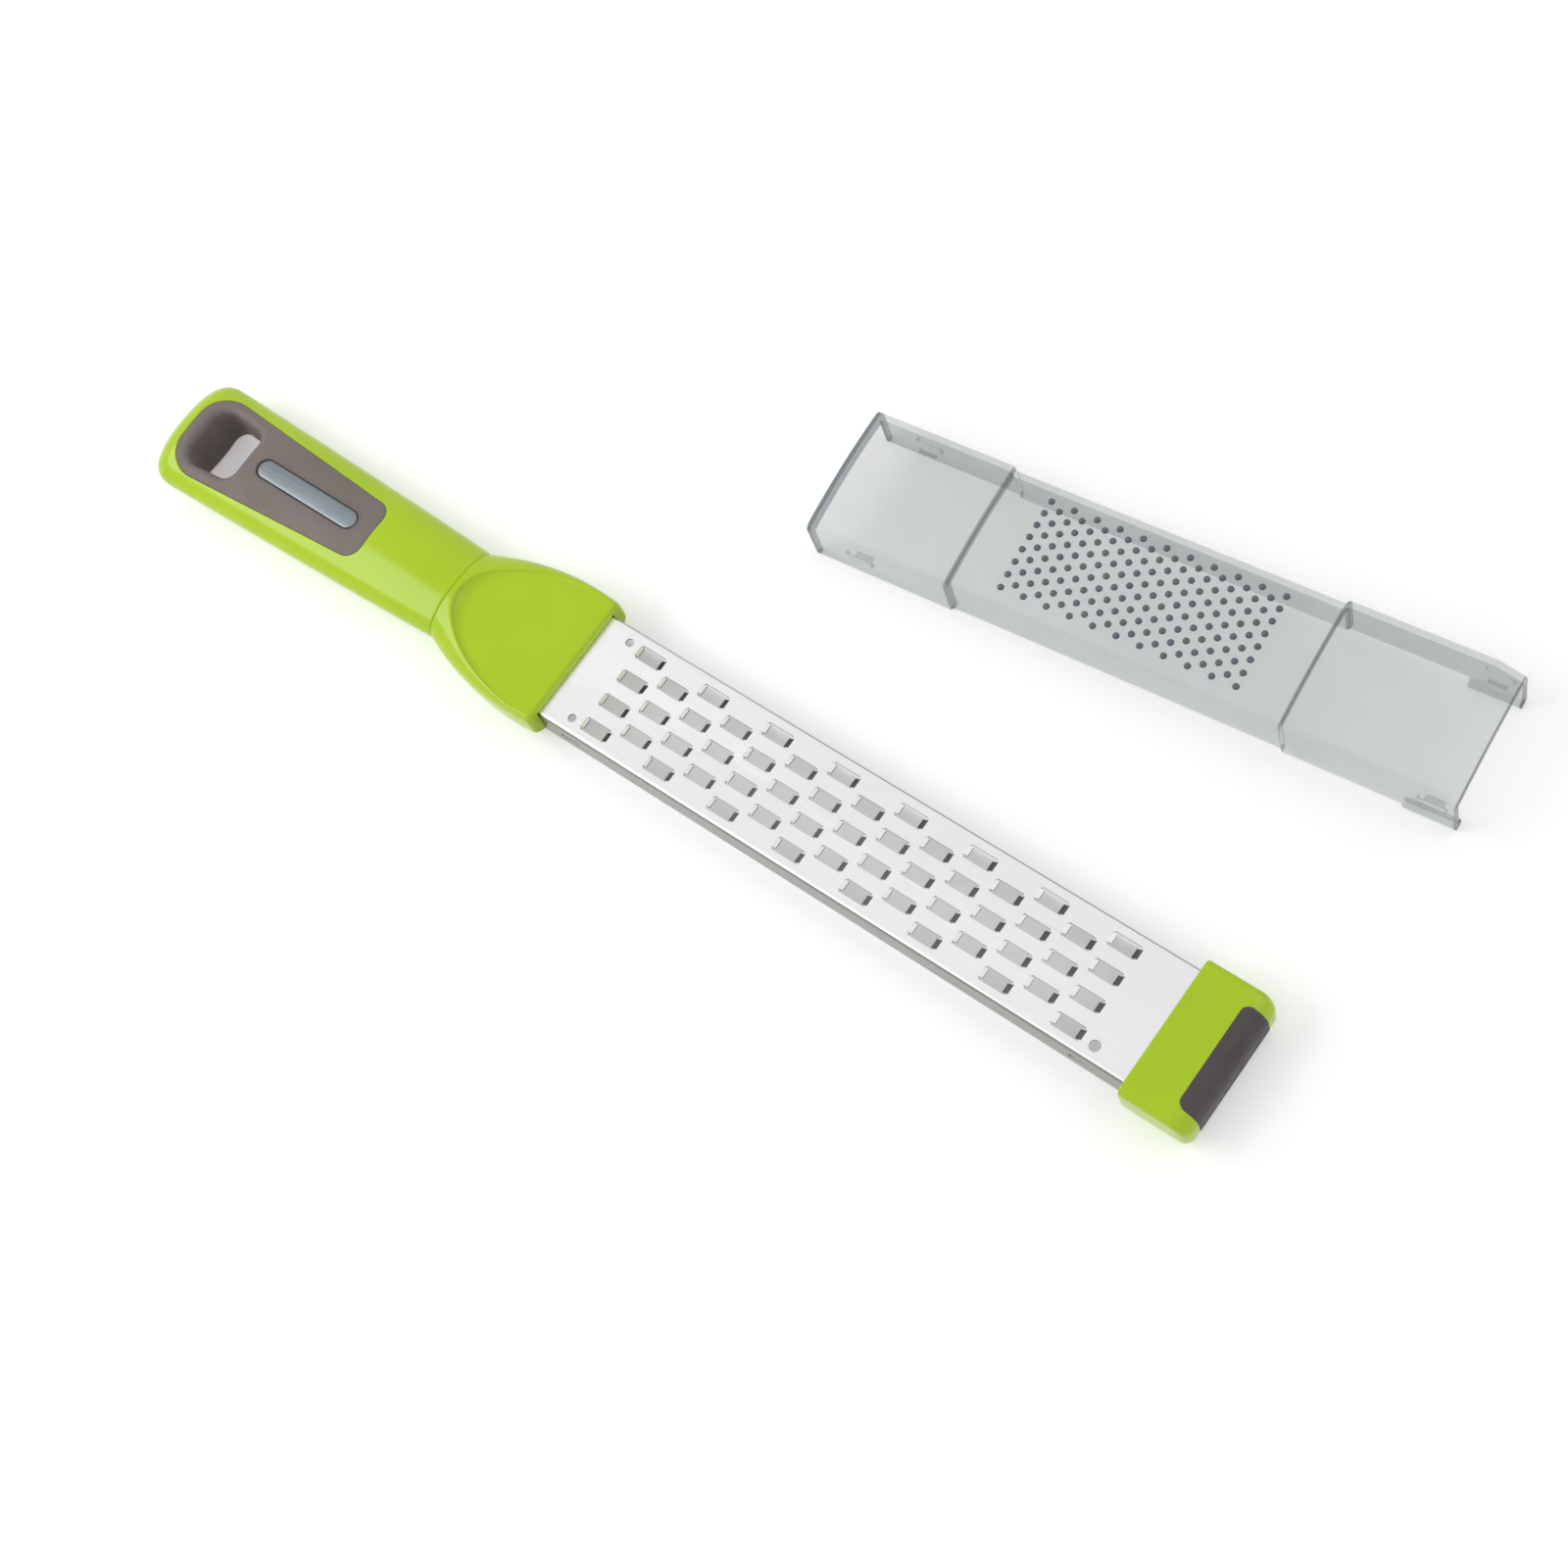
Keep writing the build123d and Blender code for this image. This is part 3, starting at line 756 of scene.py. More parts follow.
@dataclass(frozen=True)
class ClearFinish:
    """Smoky clear plastic: pale and see-through, with bands of painted shade at the ends, steps and side
    walls.
    """

    name: str
    tint: tuple
    painted_shade_tint: tuple
    body_alpha: float
    painted_shade_alpha: float
    grazing_alpha: float
    bands: tuple = ()
    place: tuple = (0.0, 0.0, 0.0)
    turn: float = 0.0
    haze_scale: float = 40.0
    haze: tuple = (0.9, 1.1)
    facing_blend: float = 0.35
    grazing_power: float = 3.0
    gloss: tuple = (0.04, 0.1)
    ior: float = 1.49

    def material(self) -> bpy.types.Material:
        """Build the material, with its bands in the piece's own length and width.

        It grows less clear where it is seen at a grazing angle, and in the bands, which are painted shade.

        Returns:
            The material.
        """
        material, shading, output, point = start_material(self.name)
        local = shading.add(
            "ShaderNodeMapping", {"vector_type": "TEXTURE"}, Vector=point,
            Location=tuple(MM * value for value in self.place), Rotation=(0.0, 0.0, self.turn),
        )
        axes = shading.add("ShaderNodeSeparateXYZ", Vector=local.outputs[0]).outputs
        mask = 0.0
        # Painted shade: each band makes the plastic darker and less clear
        for band in self.bands:
            soft = shading.add(
                "ShaderNodeGroup", {"node_tree": bpy.data.node_groups["soft_band"]},
                Value=axes[band.axis.value], Place=band.place * MM, Half_Width=band.half * MM,
            ).outputs[0]
            mask = shading.math("MAXIMUM", shading.math("MULTIPLY", soft, band.share), mask)
        haze = shading.add("ShaderNodeTexNoise", Vector=point, Scale=self.haze_scale, Detail=3.0).outputs[0]
        mist = shading.ranged(haze, NOISE_RANGE, self.haze)
        grazing = shading.add("ShaderNodeLayerWeight", Blend=self.facing_blend).outputs["Facing"]
        steep = shading.math("POWER", grazing, self.grazing_power)
        alpha = shading.ranged(steep, (0.0, 1.0), (self.body_alpha, self.grazing_alpha))
        alpha = shading.math("MULTIPLY", alpha, mist)
        # Painted shade: the bands are less clear and take the painted shade tint
        shaded_alpha = shading.math("MULTIPLY", mask, self.painted_shade_alpha)
        alpha = shading.math("MAXIMUM", alpha, shaded_alpha, True)
        colour = shading.mixed(mask, (*self.tint, 1.0), (*self.painted_shade_tint, 1.0))
        gloss = shading.ranged(haze, NOISE_RANGE, self.gloss)
        shader = shading.add(
            "ShaderNodeBsdfPrincipled", Base_Color=colour, Roughness=gloss, Alpha=alpha, IOR=self.ior,
        )
        shading.tree.links.new(shader.outputs[0], output.inputs[0])
        return material


# Handle


@dataclass
class HandleForm:
    """Outside of the handle: an oval that flares towards its end and closes in a round nose."""

    tip: float
    seam: float
    height: float = 16.0
    widest: float = 9.4
    seam_half: float = 12.65
    tip_half: float = 15.9
    nose_length: float = 9.3
    nose_drop: float = 7.5
    round_power: float = 2.1
    nose_power: float = 2.9
    flare_power: float = 0.75
    seam_round: float = 0.35

    def half_width(self, x: np.ndarray) -> np.ndarray:
        """Half width at x: a flare by a power of the share, times the nose's superellipse.

        Args:
            x: X of the places.

        Returns:
            The half width, 0 past the seam.
        """
        share = np.clip((self.seam - x) / (self.seam - self.tip), 0.0, 1.0)
        half = self.seam_half + (self.tip_half - self.seam_half) * share**self.flare_power
        in_nose = np.clip(self.tip + self.nose_length - x, 0.0, None)
        half = half * rounded_rise(in_nose, self.nose_length, self.nose_power)
        return np.where(x > self.seam, 0.0, half - corner_drop(self.seam - x, self.seam_round))

    def rise(self, x: np.ndarray, y: np.ndarray, full: float) -> np.ndarray:
        """Distance of the surface from the widest line over a plan point.

        The full distance falls to nothing as an ellipse over the nose, and as a superellipse
        across the handle.

        Args:
            x: X of the points.
            y: Y of the points.
            full: The distance in the middle of the handle.

        Returns:
            The distance, up or down.
        """
        in_nose = np.clip(self.tip + self.nose_drop - x, 0.0, None)
        nose = rounded_rise(in_nose, self.nose_drop, ELLIPSE)
        middle = full * nose - corner_drop(self.seam - x, self.seam_round)
        return middle * rounded_rise(y, self.half_width(x), self.round_power)

    def top(self, x: np.ndarray, y: np.ndarray) -> np.ndarray:
        """Height of the upper surface over a plan point."""
        return self.widest + self.rise(x, y, self.height - self.widest)

    def under(self, x: np.ndarray, y: np.ndarray) -> np.ndarray:
        """Height of the lower surface under a plan point."""
        return self.widest - self.rise(x, y, self.widest)


@dataclass
class TaperedOutline:
    """Plan outline with two straight sides that narrow towards the neck and rounded corners."""

    x_tip: float
    x_neck: float
    half_tip: float
    half_neck: float
    tip_corner: float
    neck_corner: float

    def half_width(self, x: np.ndarray) -> np.ndarray:
        """Half width at x: a line, and a circle that touches it near each end.

        Args:
            x: X of the places.

        Returns:
            The half width, 0 past the ends.
        """
        slope = (self.half_neck - self.half_tip) / (self.x_neck - self.x_tip)
        lean = math.hypot(1.0, slope)
        half = self.half_tip + slope * (x - self.x_tip)
        for end, side, radius in ((self.x_tip, 1, self.tip_corner), (self.x_neck, -1, self.neck_corner)):
            centre = end + side * radius
            middle = self.half_tip + slope * (centre - self.x_tip) - radius * lean
            touch = centre - radius * slope / lean
            arc = middle + np.sqrt(np.clip(radius * radius - (x - centre) ** 2, 0.0, None))
            half = np.where(side * (touch - x) > 0, arc, half)
        return np.where((x < self.x_tip) | (x > self.x_neck), 0.0, half)

    def grown(self, wall: float) -> "TaperedOutline":
        """The same outline with a wall added all round.

        Args:
            wall: Thickness of the wall.

        Returns:
            The larger outline.
        """
        return TaperedOutline(
            self.x_tip - wall, self.x_neck + wall, self.half_tip + wall, self.half_neck + wall,
            self.tip_corner + wall, self.neck_corner + wall,
        )


@dataclass
class InlayOutline(TaperedOutline):
    """Plan of the soft inlay."""

    half_tip: float = 12.5
    half_neck: float = 8.2
    tip_corner: float = 8.0
    neck_corner: float = 4.5


@dataclass
class EyeOutline(TaperedOutline):
    """Plan of the hanging eye at its narrowest, with its length and its distance from the inlay's end."""

    INSET = 4.0
    LENGTH = 15.8

    half_tip: float = 8.6
    half_neck: float = 7.5
    tip_corner: float = 4.0
    neck_corner: float = 4.0


@dataclass
class Handle:
    """Lime shell, soft grey inlay with the hanging eye, and the bare badge."""

    form: HandleForm
    inlay: TaperedOutline
    eye: TaperedOutline
    badge: np.ndarray
    rim_round: float = 0.25
    rim_shares: tuple = (0.0, 0.08, 0.25, 0.55)
    border_shares: tuple = (0.5, 0.2, 0.0)
    seam_shares: tuple = (1.0, 1 / 2, 1 / 7, 0.0)
    fit_gap: float = 0.06
    inlay_depth: float = 1.5
    lining: float = 1.6
    roll_run: float = 2.4
    roll_fall: float = 2.6
    badge_gap: float = 0.3
    badge_lip: float = 0.32
    badge_edge: float = 0.22
    badge_inset: float = 0.15
    badge_crown: float = 0.12
    nose_turn: float = 18.0
    seam_turn: float = 38.0
    nose_steps: int = 28
    side_steps: int = 50
    flank_steps: int = 24
    seam_steps: int = 15
    band_rows: int = 28
    roll_steps: int = 12
    plate_steps: int = 26
    lip_sides: int = 12
    badge_steps: int = 6

    def rays(self) -> tuple:
        """Rays from the spine to the handle's silhouette, over its +Y half.

        A fan turns round the nose, parallel rays leave the straight middle, and a last fan
        ends on chosen points: down the side, round the seam's small edge and across the seam.

        Returns:
            X of each start, both parts of each direction, and the distance to the silhouette.
        """
        form = self.form
        nose_x, seam_x = form.tip + self.nose_turn, form.seam - self.seam_turn
        turn = np.linspace(math.pi, math.pi / 2, self.nose_steps + 1)[:-1]
        side_x = np.linspace(nose_x, seam_x, self.side_steps + 1)[:-1]
        flank_x = np.concatenate([
            np.linspace(seam_x, form.seam - form.seam_round, self.flank_steps)[:-1],
            form.seam - form.seam_round * np.array(self.seam_shares),
        ])
        end_half = form.half_width(np.array(form.seam))
        seam_y = end_half * np.cos(np.linspace(0.0, math.pi / 2, self.seam_steps)[1:])
        target_x = np.concatenate([flank_x, np.full(seam_y.shape, form.seam)])
        target_y = np.concatenate([form.half_width(flank_x), seam_y])
        length = np.hypot(target_x - seam_x, target_y)
        origin = np.concatenate([np.full(turn.shape, nose_x), side_x, np.full(length.shape, seam_x)])
        along = np.concatenate([np.cos(turn), np.zeros(side_x.shape), (target_x - seam_x) / length])
        across = np.concatenate([np.sin(turn), np.ones(side_x.shape), target_y / length])
        across[0] = across[-1] = 0.0
        fan = slice(len(turn))
        nose_reach = reach(origin[fan], along[fan], across[fan], form.half_width)
        outer = np.concatenate([nose_reach, form.half_width(side_x), length])
        return origin, along, across, outer

    def shell(self) -> bpy.types.Object:
        """Lime shell: a ring between the inlay's outline and the silhouette, over and under.

        Each row runs round the ring at a share of the way out, with its height from the
        handle's form, and the rows crowd towards the silhouette as a sine. The edge beside the
        inlay is rounded, and straight walls close the ring at the inlay and at the seam.

        Returns:
            The shell.
        """
        origin, along, across, outer = self.rays()
        inner = reach(origin, along, across, self.inlay.half_width)
        rim = self.rim_round * np.array(self.rim_shares)
        start = inner + self.rim_round
        shares = np.sin(np.linspace(0.0, math.pi / 2, self.band_rows))[:, None]
        run = np.concatenate([inner + rim[:, None], start + (outer - start) * shares])
        x, y = origin + along * run, across * run
        fall = corner_drop(run - inner, self.rim_round)
        upper, lower = self.form.top(x, y) - fall, self.form.under(x, y) + fall
        silhouette = x[-1] < self.form.seam - MERGE
        for z in (upper, lower):
            z[-1, silhouette] = self.form.widest
        rows = folded(stacked(x, y, upper), stacked(x, y, lower))
        return mesh_object("handle_moulding", [Patch(rows, loop_rows=True, loop_columns=True)])

    def grip(self) -> bpy.types.Object:
        """Soft inlay: one ring round the eye, rolled over its rim and lining it.

        Rays from the eye's centre carry each row: up the throat, over the rim as a quarter
        of an ellipse, across the plate, down the rounded border and back under the plate.

        Returns:
            The inlay, with the badge's recess cut.
        """
        origin, along, across, _ = self.rays()
        edge = reach(origin, along, across, self.inlay.half_width) - self.fit_gap
        far_x, far_y = origin + along * edge, across * edge
        centre = (self.eye.x_tip + self.eye.x_neck) / 2
        length = np.hypot(far_x - centre, far_y)
        ray_x, ray_y = (far_x - centre) / length, far_y / length
        start = np.full(length.shape, centre)
        throat = reach(start, ray_x, ray_y, self.eye.half_width)
        lining = reach(start, ray_x, ray_y, self.eye.grown(self.lining).half_width)
        turn = np.linspace(0.0, math.pi / 2, self.roll_steps)[:, None]
        roll = throat + self.roll_run * (1 - np.cos(turn))
        fall = self.roll_fall * (1 - np.sin(turn)) * np.ones_like(throat)
        shares = np.linspace(0.0, 1.0, self.plate_steps)[1:, None]
        plate = roll[-1] + (length - self.rim_round - roll[-1]) * shares
        rim = length - self.rim_round * np.array(self.border_shares)[:, None]
        under = np.stack([length, length - self.fit_gap, lining])
        sunk = np.array([self.inlay_depth - self.fit_gap, self.inlay_depth, self.inlay_depth])
        run = np.concatenate([throat[None], roll, plate, rim, under, lining[None]])
        drop = np.concatenate([
            np.zeros((1, len(length))), fall, np.zeros_like(plate),
            corner_drop(length - rim, self.rim_round), sunk[:, None] * np.ones_like(length),
            np.zeros((1, len(length))),
        ])
        x, y = centre + ray_x * run, ray_y * run
        upper, lower = self.form.top(x, y) - drop, self.form.under(x, y) + drop
        for z in (upper, lower):
            z[0] = z[-1] = self.form.height / 2
        rows = folded(stacked(x, y, upper), stacked(x, y, lower))
        grip = mesh_object("grip_moulding", [Patch(rows, loop_rows=True, loop_columns=True)])
        carve(grip, [self.badge_recess()])
        return grip

    def badge_recess(self) -> bpy.types.Object:
        """Cutter for the badge's seat: a stadium that is a gap wider than the badge all round.

        Returns:
            The cutter, from the badge's underside to past the handle's top.
        """
        low, high = self.badge
        gap = self.badge_gap
        loop = stadium(low[0] - gap, high[0] + gap, high[1] + gap)
        walls = np.stack([stacked(loop[:, 0], loop[:, 1], z) for z in (low[2], self.form.height + gap)])
        return mesh_object("badge_recess", [Patch(walls, loop_columns=True, capped=True)])

    def badge_rim(self) -> bpy.types.Object:
        """Faint lip round the badge: a thin tube along a stadium, half sunk in the inlay.

        A stadium one unit wider gives each point's outward direction, along which the tube's
        circle lies.

        Returns:
            The lip.
        """
        low, high = self.badge
        offset = self.badge_gap + self.badge_lip
        line, wide = (stadium(low[0] - far, high[0] + far, high[1] + far) for far in (offset, offset + 1))
        turn = np.linspace(0.0, 2 * math.pi, self.lip_sides + 1)[:-1, None, None]
        plan = line + (wide - line) * self.badge_lip * np.cos(turn)
        middle = self.form.top(line[:, 0], line[:, 1]) - self.badge_lip / 2
        z = middle + self.badge_lip * np.sin(turn[..., 0])
        tube = stacked(plan[..., 0], plan[..., 1], z)
        return mesh_object("badge_rim", [Patch(tube, loop_rows=True, loop_columns=True)])

    def badge_plate(self) -> bpy.types.Object:
        """Bare badge: stadium loops up its side, over a rounded edge and in over a low crown.

        The crown is full on the middle line, and falls by the square of the share of the way
        from there to the edge.

        Returns:
            The badge.
        """
        drawn = np.array([1.0, 1.0, 0.0]) * self.badge_inset
        low, high = self.badge[0] + drawn, self.badge[1] - drawn
        edge = self.badge_edge
        turn = np.linspace(0.0, math.pi / 2, self.badge_steps)
        inward = np.linspace(edge, high[1], self.badge_steps + 1)[1:]
        crown = self.badge_crown * (1 - ((high[1] - inward) / high[1]) ** 2)
        insets = np.concatenate([[0.0], edge * (1 - np.cos(turn)), inward])
        heights = np.concatenate([[low[2]], high[2] - edge + edge * np.sin(turn), high[2] + crown])
        loops = []
        for inset, z in zip(insets, heights):
            plan = stadium(low[0] + inset, high[0] - inset, high[1] - inset)
            loops.append(stacked(plan[:, 0], plan[:, 1], z))
        base = loops[0] * [1.0, 0.0, 1.0]
        base[:, 0] = np.clip(base[:, 0], low[0] + high[1], high[0] - high[1])
        return mesh_object("bare_badge", [Patch(np.stack([base, *loops]), loop_columns=True)])

    def build(self, lime: bpy.types.Material, grip: bpy.types.Material, metal: bpy.types.Material) -> None:
        """Make the handle's shown pieces and dress them.

        Args:
            lime: Finish of the shell.
            grip: Finish of the inlay and the lip.
            metal: Finish of the badge.
        """
        settle(self.shell(), Body.ZESTER, Slot.LIME, lime, "handle_shell")
        settle(self.grip(), Body.ZESTER, Slot.GRIP, grip, "grip_inlay")
        settle(self.badge_rim(), Body.ZESTER, Slot.GRIP, grip)
        settle(self.badge_plate(), Body.ZESTER, Slot.BADGE, metal, "badge_plate")


# Neck


@dataclass
class Neck:
    """Lime neck: the handle's oval turns into a shallow box with a flat, scooped face."""

    seam: float
    face: float
    seam_half: float
    height: float
    widest: float
    blade_top: float
    blade_half: float
    tang_end: float
    spigot_end: float
    seat_length: float = 12.0
    widest_inset: float = 8.4
    wall: float = 3.65
    rise: float = 2.2
    crest: float = 1.8
    face_mid: float = 6.0
    face_low: float = 1.0
    round_power: float = 2.1
    top_power: float = 6.0
    under_power: float = 2.6
    scoop_seam_gap: float = 1.9
    scoop_rim: float = 1.0
    scoop_climb: float = 1.2
    blend_slope: float = 2.3
    blend_least: float = 0.9
    blend_most: float = 4.8
    blend_bend: float = 0.96
    ridge_run: float = 0.6
    ridge_fall: float = 0.21
    seam_round: float = 0.35
    front_top: float = 1.0
    front_under: float = 0.6
    front_side: float = 0.8
    seat_gap: float = 0.08
    tang_half: float = 9.05
    spigot_half: float = 6.0
    spigot_height: float = 6.4
    spigot_corner: float = 1.5
    seam_shares: tuple = (1.0, 0.5, 0.15, 0.0)
    depth_shares: tuple = (
        0.0, 0.0006, 0.002, 0.005, 0.01, 0.018, 0.03, 0.045, 0.065, 0.09, 0.13, 0.18,
        0.25, 0.33, 0.42, 0.52, 0.62, 0.72, 0.82, 0.91, 1.0,
    )
    ridge_shares: tuple = (0.03, 0.07)
    flank_steps: int = 12
    seam_steps: int = 16
    climb_steps: int = 13
    body_steps: int = 16

    def half_width(self, x: np.ndarray) -> np.ndarray:
        """Half width at x: one arc through the seam and the widest place, with rounded ends.

        Args:
            x: X of the places.

        Returns:
            The half width, 0 past the seam and the face.
        """
        crest = self.face - self.widest_inset
        widest = self.blade_half + self.wall
        run, fall = crest - self.seam, widest - self.seam_half
        radius = (run * run + fall * fall) / (2 * fall)
        half = widest - radius + np.sqrt(np.clip(radius * radius - (x - crest) ** 2, 0.0, None))
        ends = corner_drop(x - self.seam, self.seam_round) + corner_drop(self.face - x, self.front_side)
        return np.where((x < self.seam) | (x > self.face), 0.0, half - ends)

    def section(self, x: np.ndarray) -> tuple:
        """Section at x, eased from the handle's oval at the seam to the box at the face.

        Args:
            x: X of the places.

        Returns:
            Height of the widest line, reach above and below it, and the powers of both.
        """
        share = ease((x - self.seam) / (self.face - self.seam))
        seam_up = self.height - self.widest
        front_up = self.blade_top + self.rise + self.crest - self.face_mid
        ends = corner_drop(x - self.seam, self.seam_round)
        middle = self.widest + (self.face_mid - self.widest) * share
        up = seam_up + (front_up - seam_up) * share - ends - corner_drop(self.face - x, self.front_top)
        down = self.widest + (self.face_mid - self.face_low - self.widest) * share - ends
        down = down - corner_drop(self.face - x, self.front_under)
        top_power = self.round_power + (self.top_power - self.round_power) * share
        under_power = self.round_power + (self.under_power - self.round_power) * share
        return middle, up, down, top_power, under_power

    def top(self, x: np.ndarray, y: np.ndarray) -> np.ndarray:
        """Upper surface before the scoop."""
        middle, up, _, power, _ = self.section(x)
        return middle + up * rounded_rise(y, self.half_width(x), power)

    def under(self, x: np.ndarray, y: np.ndarray) -> np.ndarray:
        """Lower surface."""
        middle, _, down, _, power = self.section(x)
        return middle - down * rounded_rise(y, self.half_width(x), power)

    def floor(self, x: np.ndarray) -> np.ndarray:
        """Flat face at x: level with the blade's seat at the front, climbing to the handle."""
        climb = self.scoop_climb * (self.face - x) / (self.face - self.seam - self.scoop_seam_gap)
        return self.blade_top + self.rise + climb - corner_drop(self.face - x, self.front_top)

    def stations(self, turn: np.ndarray) -> tuple:
        """Distances from the face's middle, at each turn from +Y, of the scoop and silhouette.

        The scoop's edge is half an ellipse. Its blend starts inside that edge, further in
        where the wall is higher, and the distance is divided by the cosine of the edge's lean.

        Args:
            turn: Angle from +Y through the handle to -Y.

        Returns:
            Where the blend starts, the scoop's edge, the silhouette, and the wall's height.
        """
        back, side = np.sin(turn), np.cos(turn)
        outer = reach(np.full(turn.shape, self.face), -back, side, self.half_width)
        long_half = self.face - self.seam - self.scoop_seam_gap
        wide_half = self.blade_half + self.wall - self.scoop_rim
        edge = 1 / np.sqrt((back / long_half) ** 2 + (side / wide_half) ** 2)
        edge = np.minimum(edge, outer - self.ridge_run)
        x, y = self.face - back * edge, side * edge
        wall = self.top(x, y) - self.ridge_fall - self.floor(x)
        gradient = np.hypot(back / long_half**2, side / wide_half**2)
        lean = (back * back / long_half**2 + side * side / wide_half**2) / gradient
        run = np.clip(self.blend_slope * wall, self.blend_least, self.blend_most)
        return edge - run / lean, edge, outer, wall

    def plan(self, turn: np.ndarray, distance: np.ndarray) -> tuple:
        """Plan point at a turn and a distance from the middle of the face."""
        return self.face - np.sin(turn) * distance, np.cos(turn) * distance

    def turns(self) -> tuple:
        """Shares across the half disk and the angles of its far side, with the seam's corner.

        Returns:
            The shares from the face to the far side, and the angles from +Y to -Y.
        """
        length = self.face - self.seam
        edge_x = self.seam + self.seam_round * np.array(self.seam_shares)
        edge = np.arctan2(self.face - edge_x, self.half_width(edge_x))
        flank = np.linspace(math.pi / 4, edge[0], self.flank_steps)[:-1]
        across = np.cos(np.linspace(0.0, math.pi / 2, self.seam_steps)[1:])
        seam_y = self.half_width(np.array(self.seam)) * across
        far = np.concatenate([flank, edge, np.arctan2(length, seam_y)])
        return np.array(self.depth_shares), np.concatenate([far, math.pi - far[-2::-1]])

    def surfaces(self) -> list:
        """Patches of the neck before its seat is cut.

        The plan is a half disk about the middle of the face. Its inner part is a square grid
        pressed to a half disk, each point's distance times where the blend starts. A ring of
        rows goes on over the blend, which rises as a quarter ellipse, over the ridge and down
        to the silhouette. The underside has the same plan, and walls close front and seam.

        Returns:
            The patches.
        """
        depth, far = self.turns()
        across = math.sqrt(2.0) * np.cos(far)
        u, v = np.meshgrid(across, depth)
        square_y, square_x = u * np.sqrt(1 - v * v / 2), v * np.sqrt(1 - u * u / 2)
        turn, share = np.arctan2(square_x, square_y), np.hypot(square_x, square_y)
        inner_x, inner_y = self.plan(turn, share * self.stations(turn)[0])
        side = np.arcsin(depth / math.sqrt(2.0))
        border = np.concatenate([side, far[1:-1], math.pi - side[::-1]])
        start, edge, outer, wall = self.stations(border)
        climb = np.sin(np.linspace(0.0, math.pi / 2, self.climb_steps))[1:, None]
        lift = (1 - np.sqrt(1 - (self.blend_bend * climb) ** 2)) / (1 - math.sqrt(1 - self.blend_bend**2))
        outward = np.sin(np.linspace(0.0, math.pi / 2, self.body_steps))[1:]
        shares = np.concatenate([self.ridge_shares, outward])[:, None]
        blend = start + (edge - start) * climb
        body = edge + (outer - edge) * shares
        distance = np.concatenate([start[None], blend, body])
        ring_x, ring_y = self.plan(border, distance)
        count = len(blend) + 1
        top = np.empty_like(distance)
        top[0] = self.floor(ring_x[0])
        top[1:count] = self.floor(ring_x[1:count]) + wall * lift
        ridge = np.clip(1 - (body - edge) / self.ridge_run, 0.0, 1.0) ** 2 * self.ridge_fall
        top[count:] = self.top(ring_x[count:], ring_y[count:]) - ridge
        low = self.under(ring_x, ring_y)
        silhouette = ring_x[-1] > self.seam + MERGE
        middle = self.section(ring_x[-1])[0]
        top[-1] = np.where(silhouette, middle, top[-1])
        low[-1] = np.where(silhouette, middle, low[-1])
        inner_top = stacked(inner_x, inner_y, self.floor(inner_x))
        inner_low = stacked(inner_x, inner_y, self.under(inner_x, inner_y))
        ring_top, ring_low = stacked(ring_x, ring_y, top), stacked(ring_x, ring_y, low)
        front_top = np.concatenate([ring_top[::-1, 0], inner_top[0], ring_top[:, -1]])
        front_low = np.concatenate([ring_low[::-1, 0], inner_low[0], ring_low[:, -1]])
        return [
            Patch(inner_top), Patch(inner_low), Patch(ring_top), Patch(ring_low),
            Patch(np.stack([front_top, front_low])), Patch(np.stack([ring_top[-1], ring_low[-1]])),
        ]

    def spigot(self) -> bpy.types.Object:
        """Hidden spigot that goes into the handle's core: a rounded bar across the seam.

        Returns:
            The bar, to be joined to the neck.
        """
        half, corner = self.spigot_half, self.spigot_corner
        loop = rounded_loop(-half, half, self.spigot_height / 2, corner, corner)
        y, z = loop[:, 0], loop[:, 1] + self.height / 2
        ends = np.stack([stacked(x, y, z) for x in (self.spigot_end, self.seam + self.wall)])
        return mesh_object("spigot", [Patch(ends, loop_columns=True, capped=True)])

    def build(self, lime: bpy.types.Material) -> None:
        """Make the neck, join its hidden spigot, cut the blade's seat and dress it.

        Args:
            lime: Its finish.
        """
        neck = mesh_object("neck_moulding", self.surfaces())
        carve(neck, [self.spigot()], Carving.JOIN)
        half, high = self.blade_half + self.seat_gap, self.blade_top + self.seat_gap
        start = self.face - self.seat_length
        seat = block("seat", (start, -half, -OVER), (self.face + OVER, half, high))
        tang = self.tang_half
        pocket = block("pocket", (self.tang_end, -tang, -OVER), (start + OVER, tang, high))
        carve(neck, [seat, pocket])
        settle(neck, Body.ZESTER, Slot.LIME, lime, "neck")


# Tip


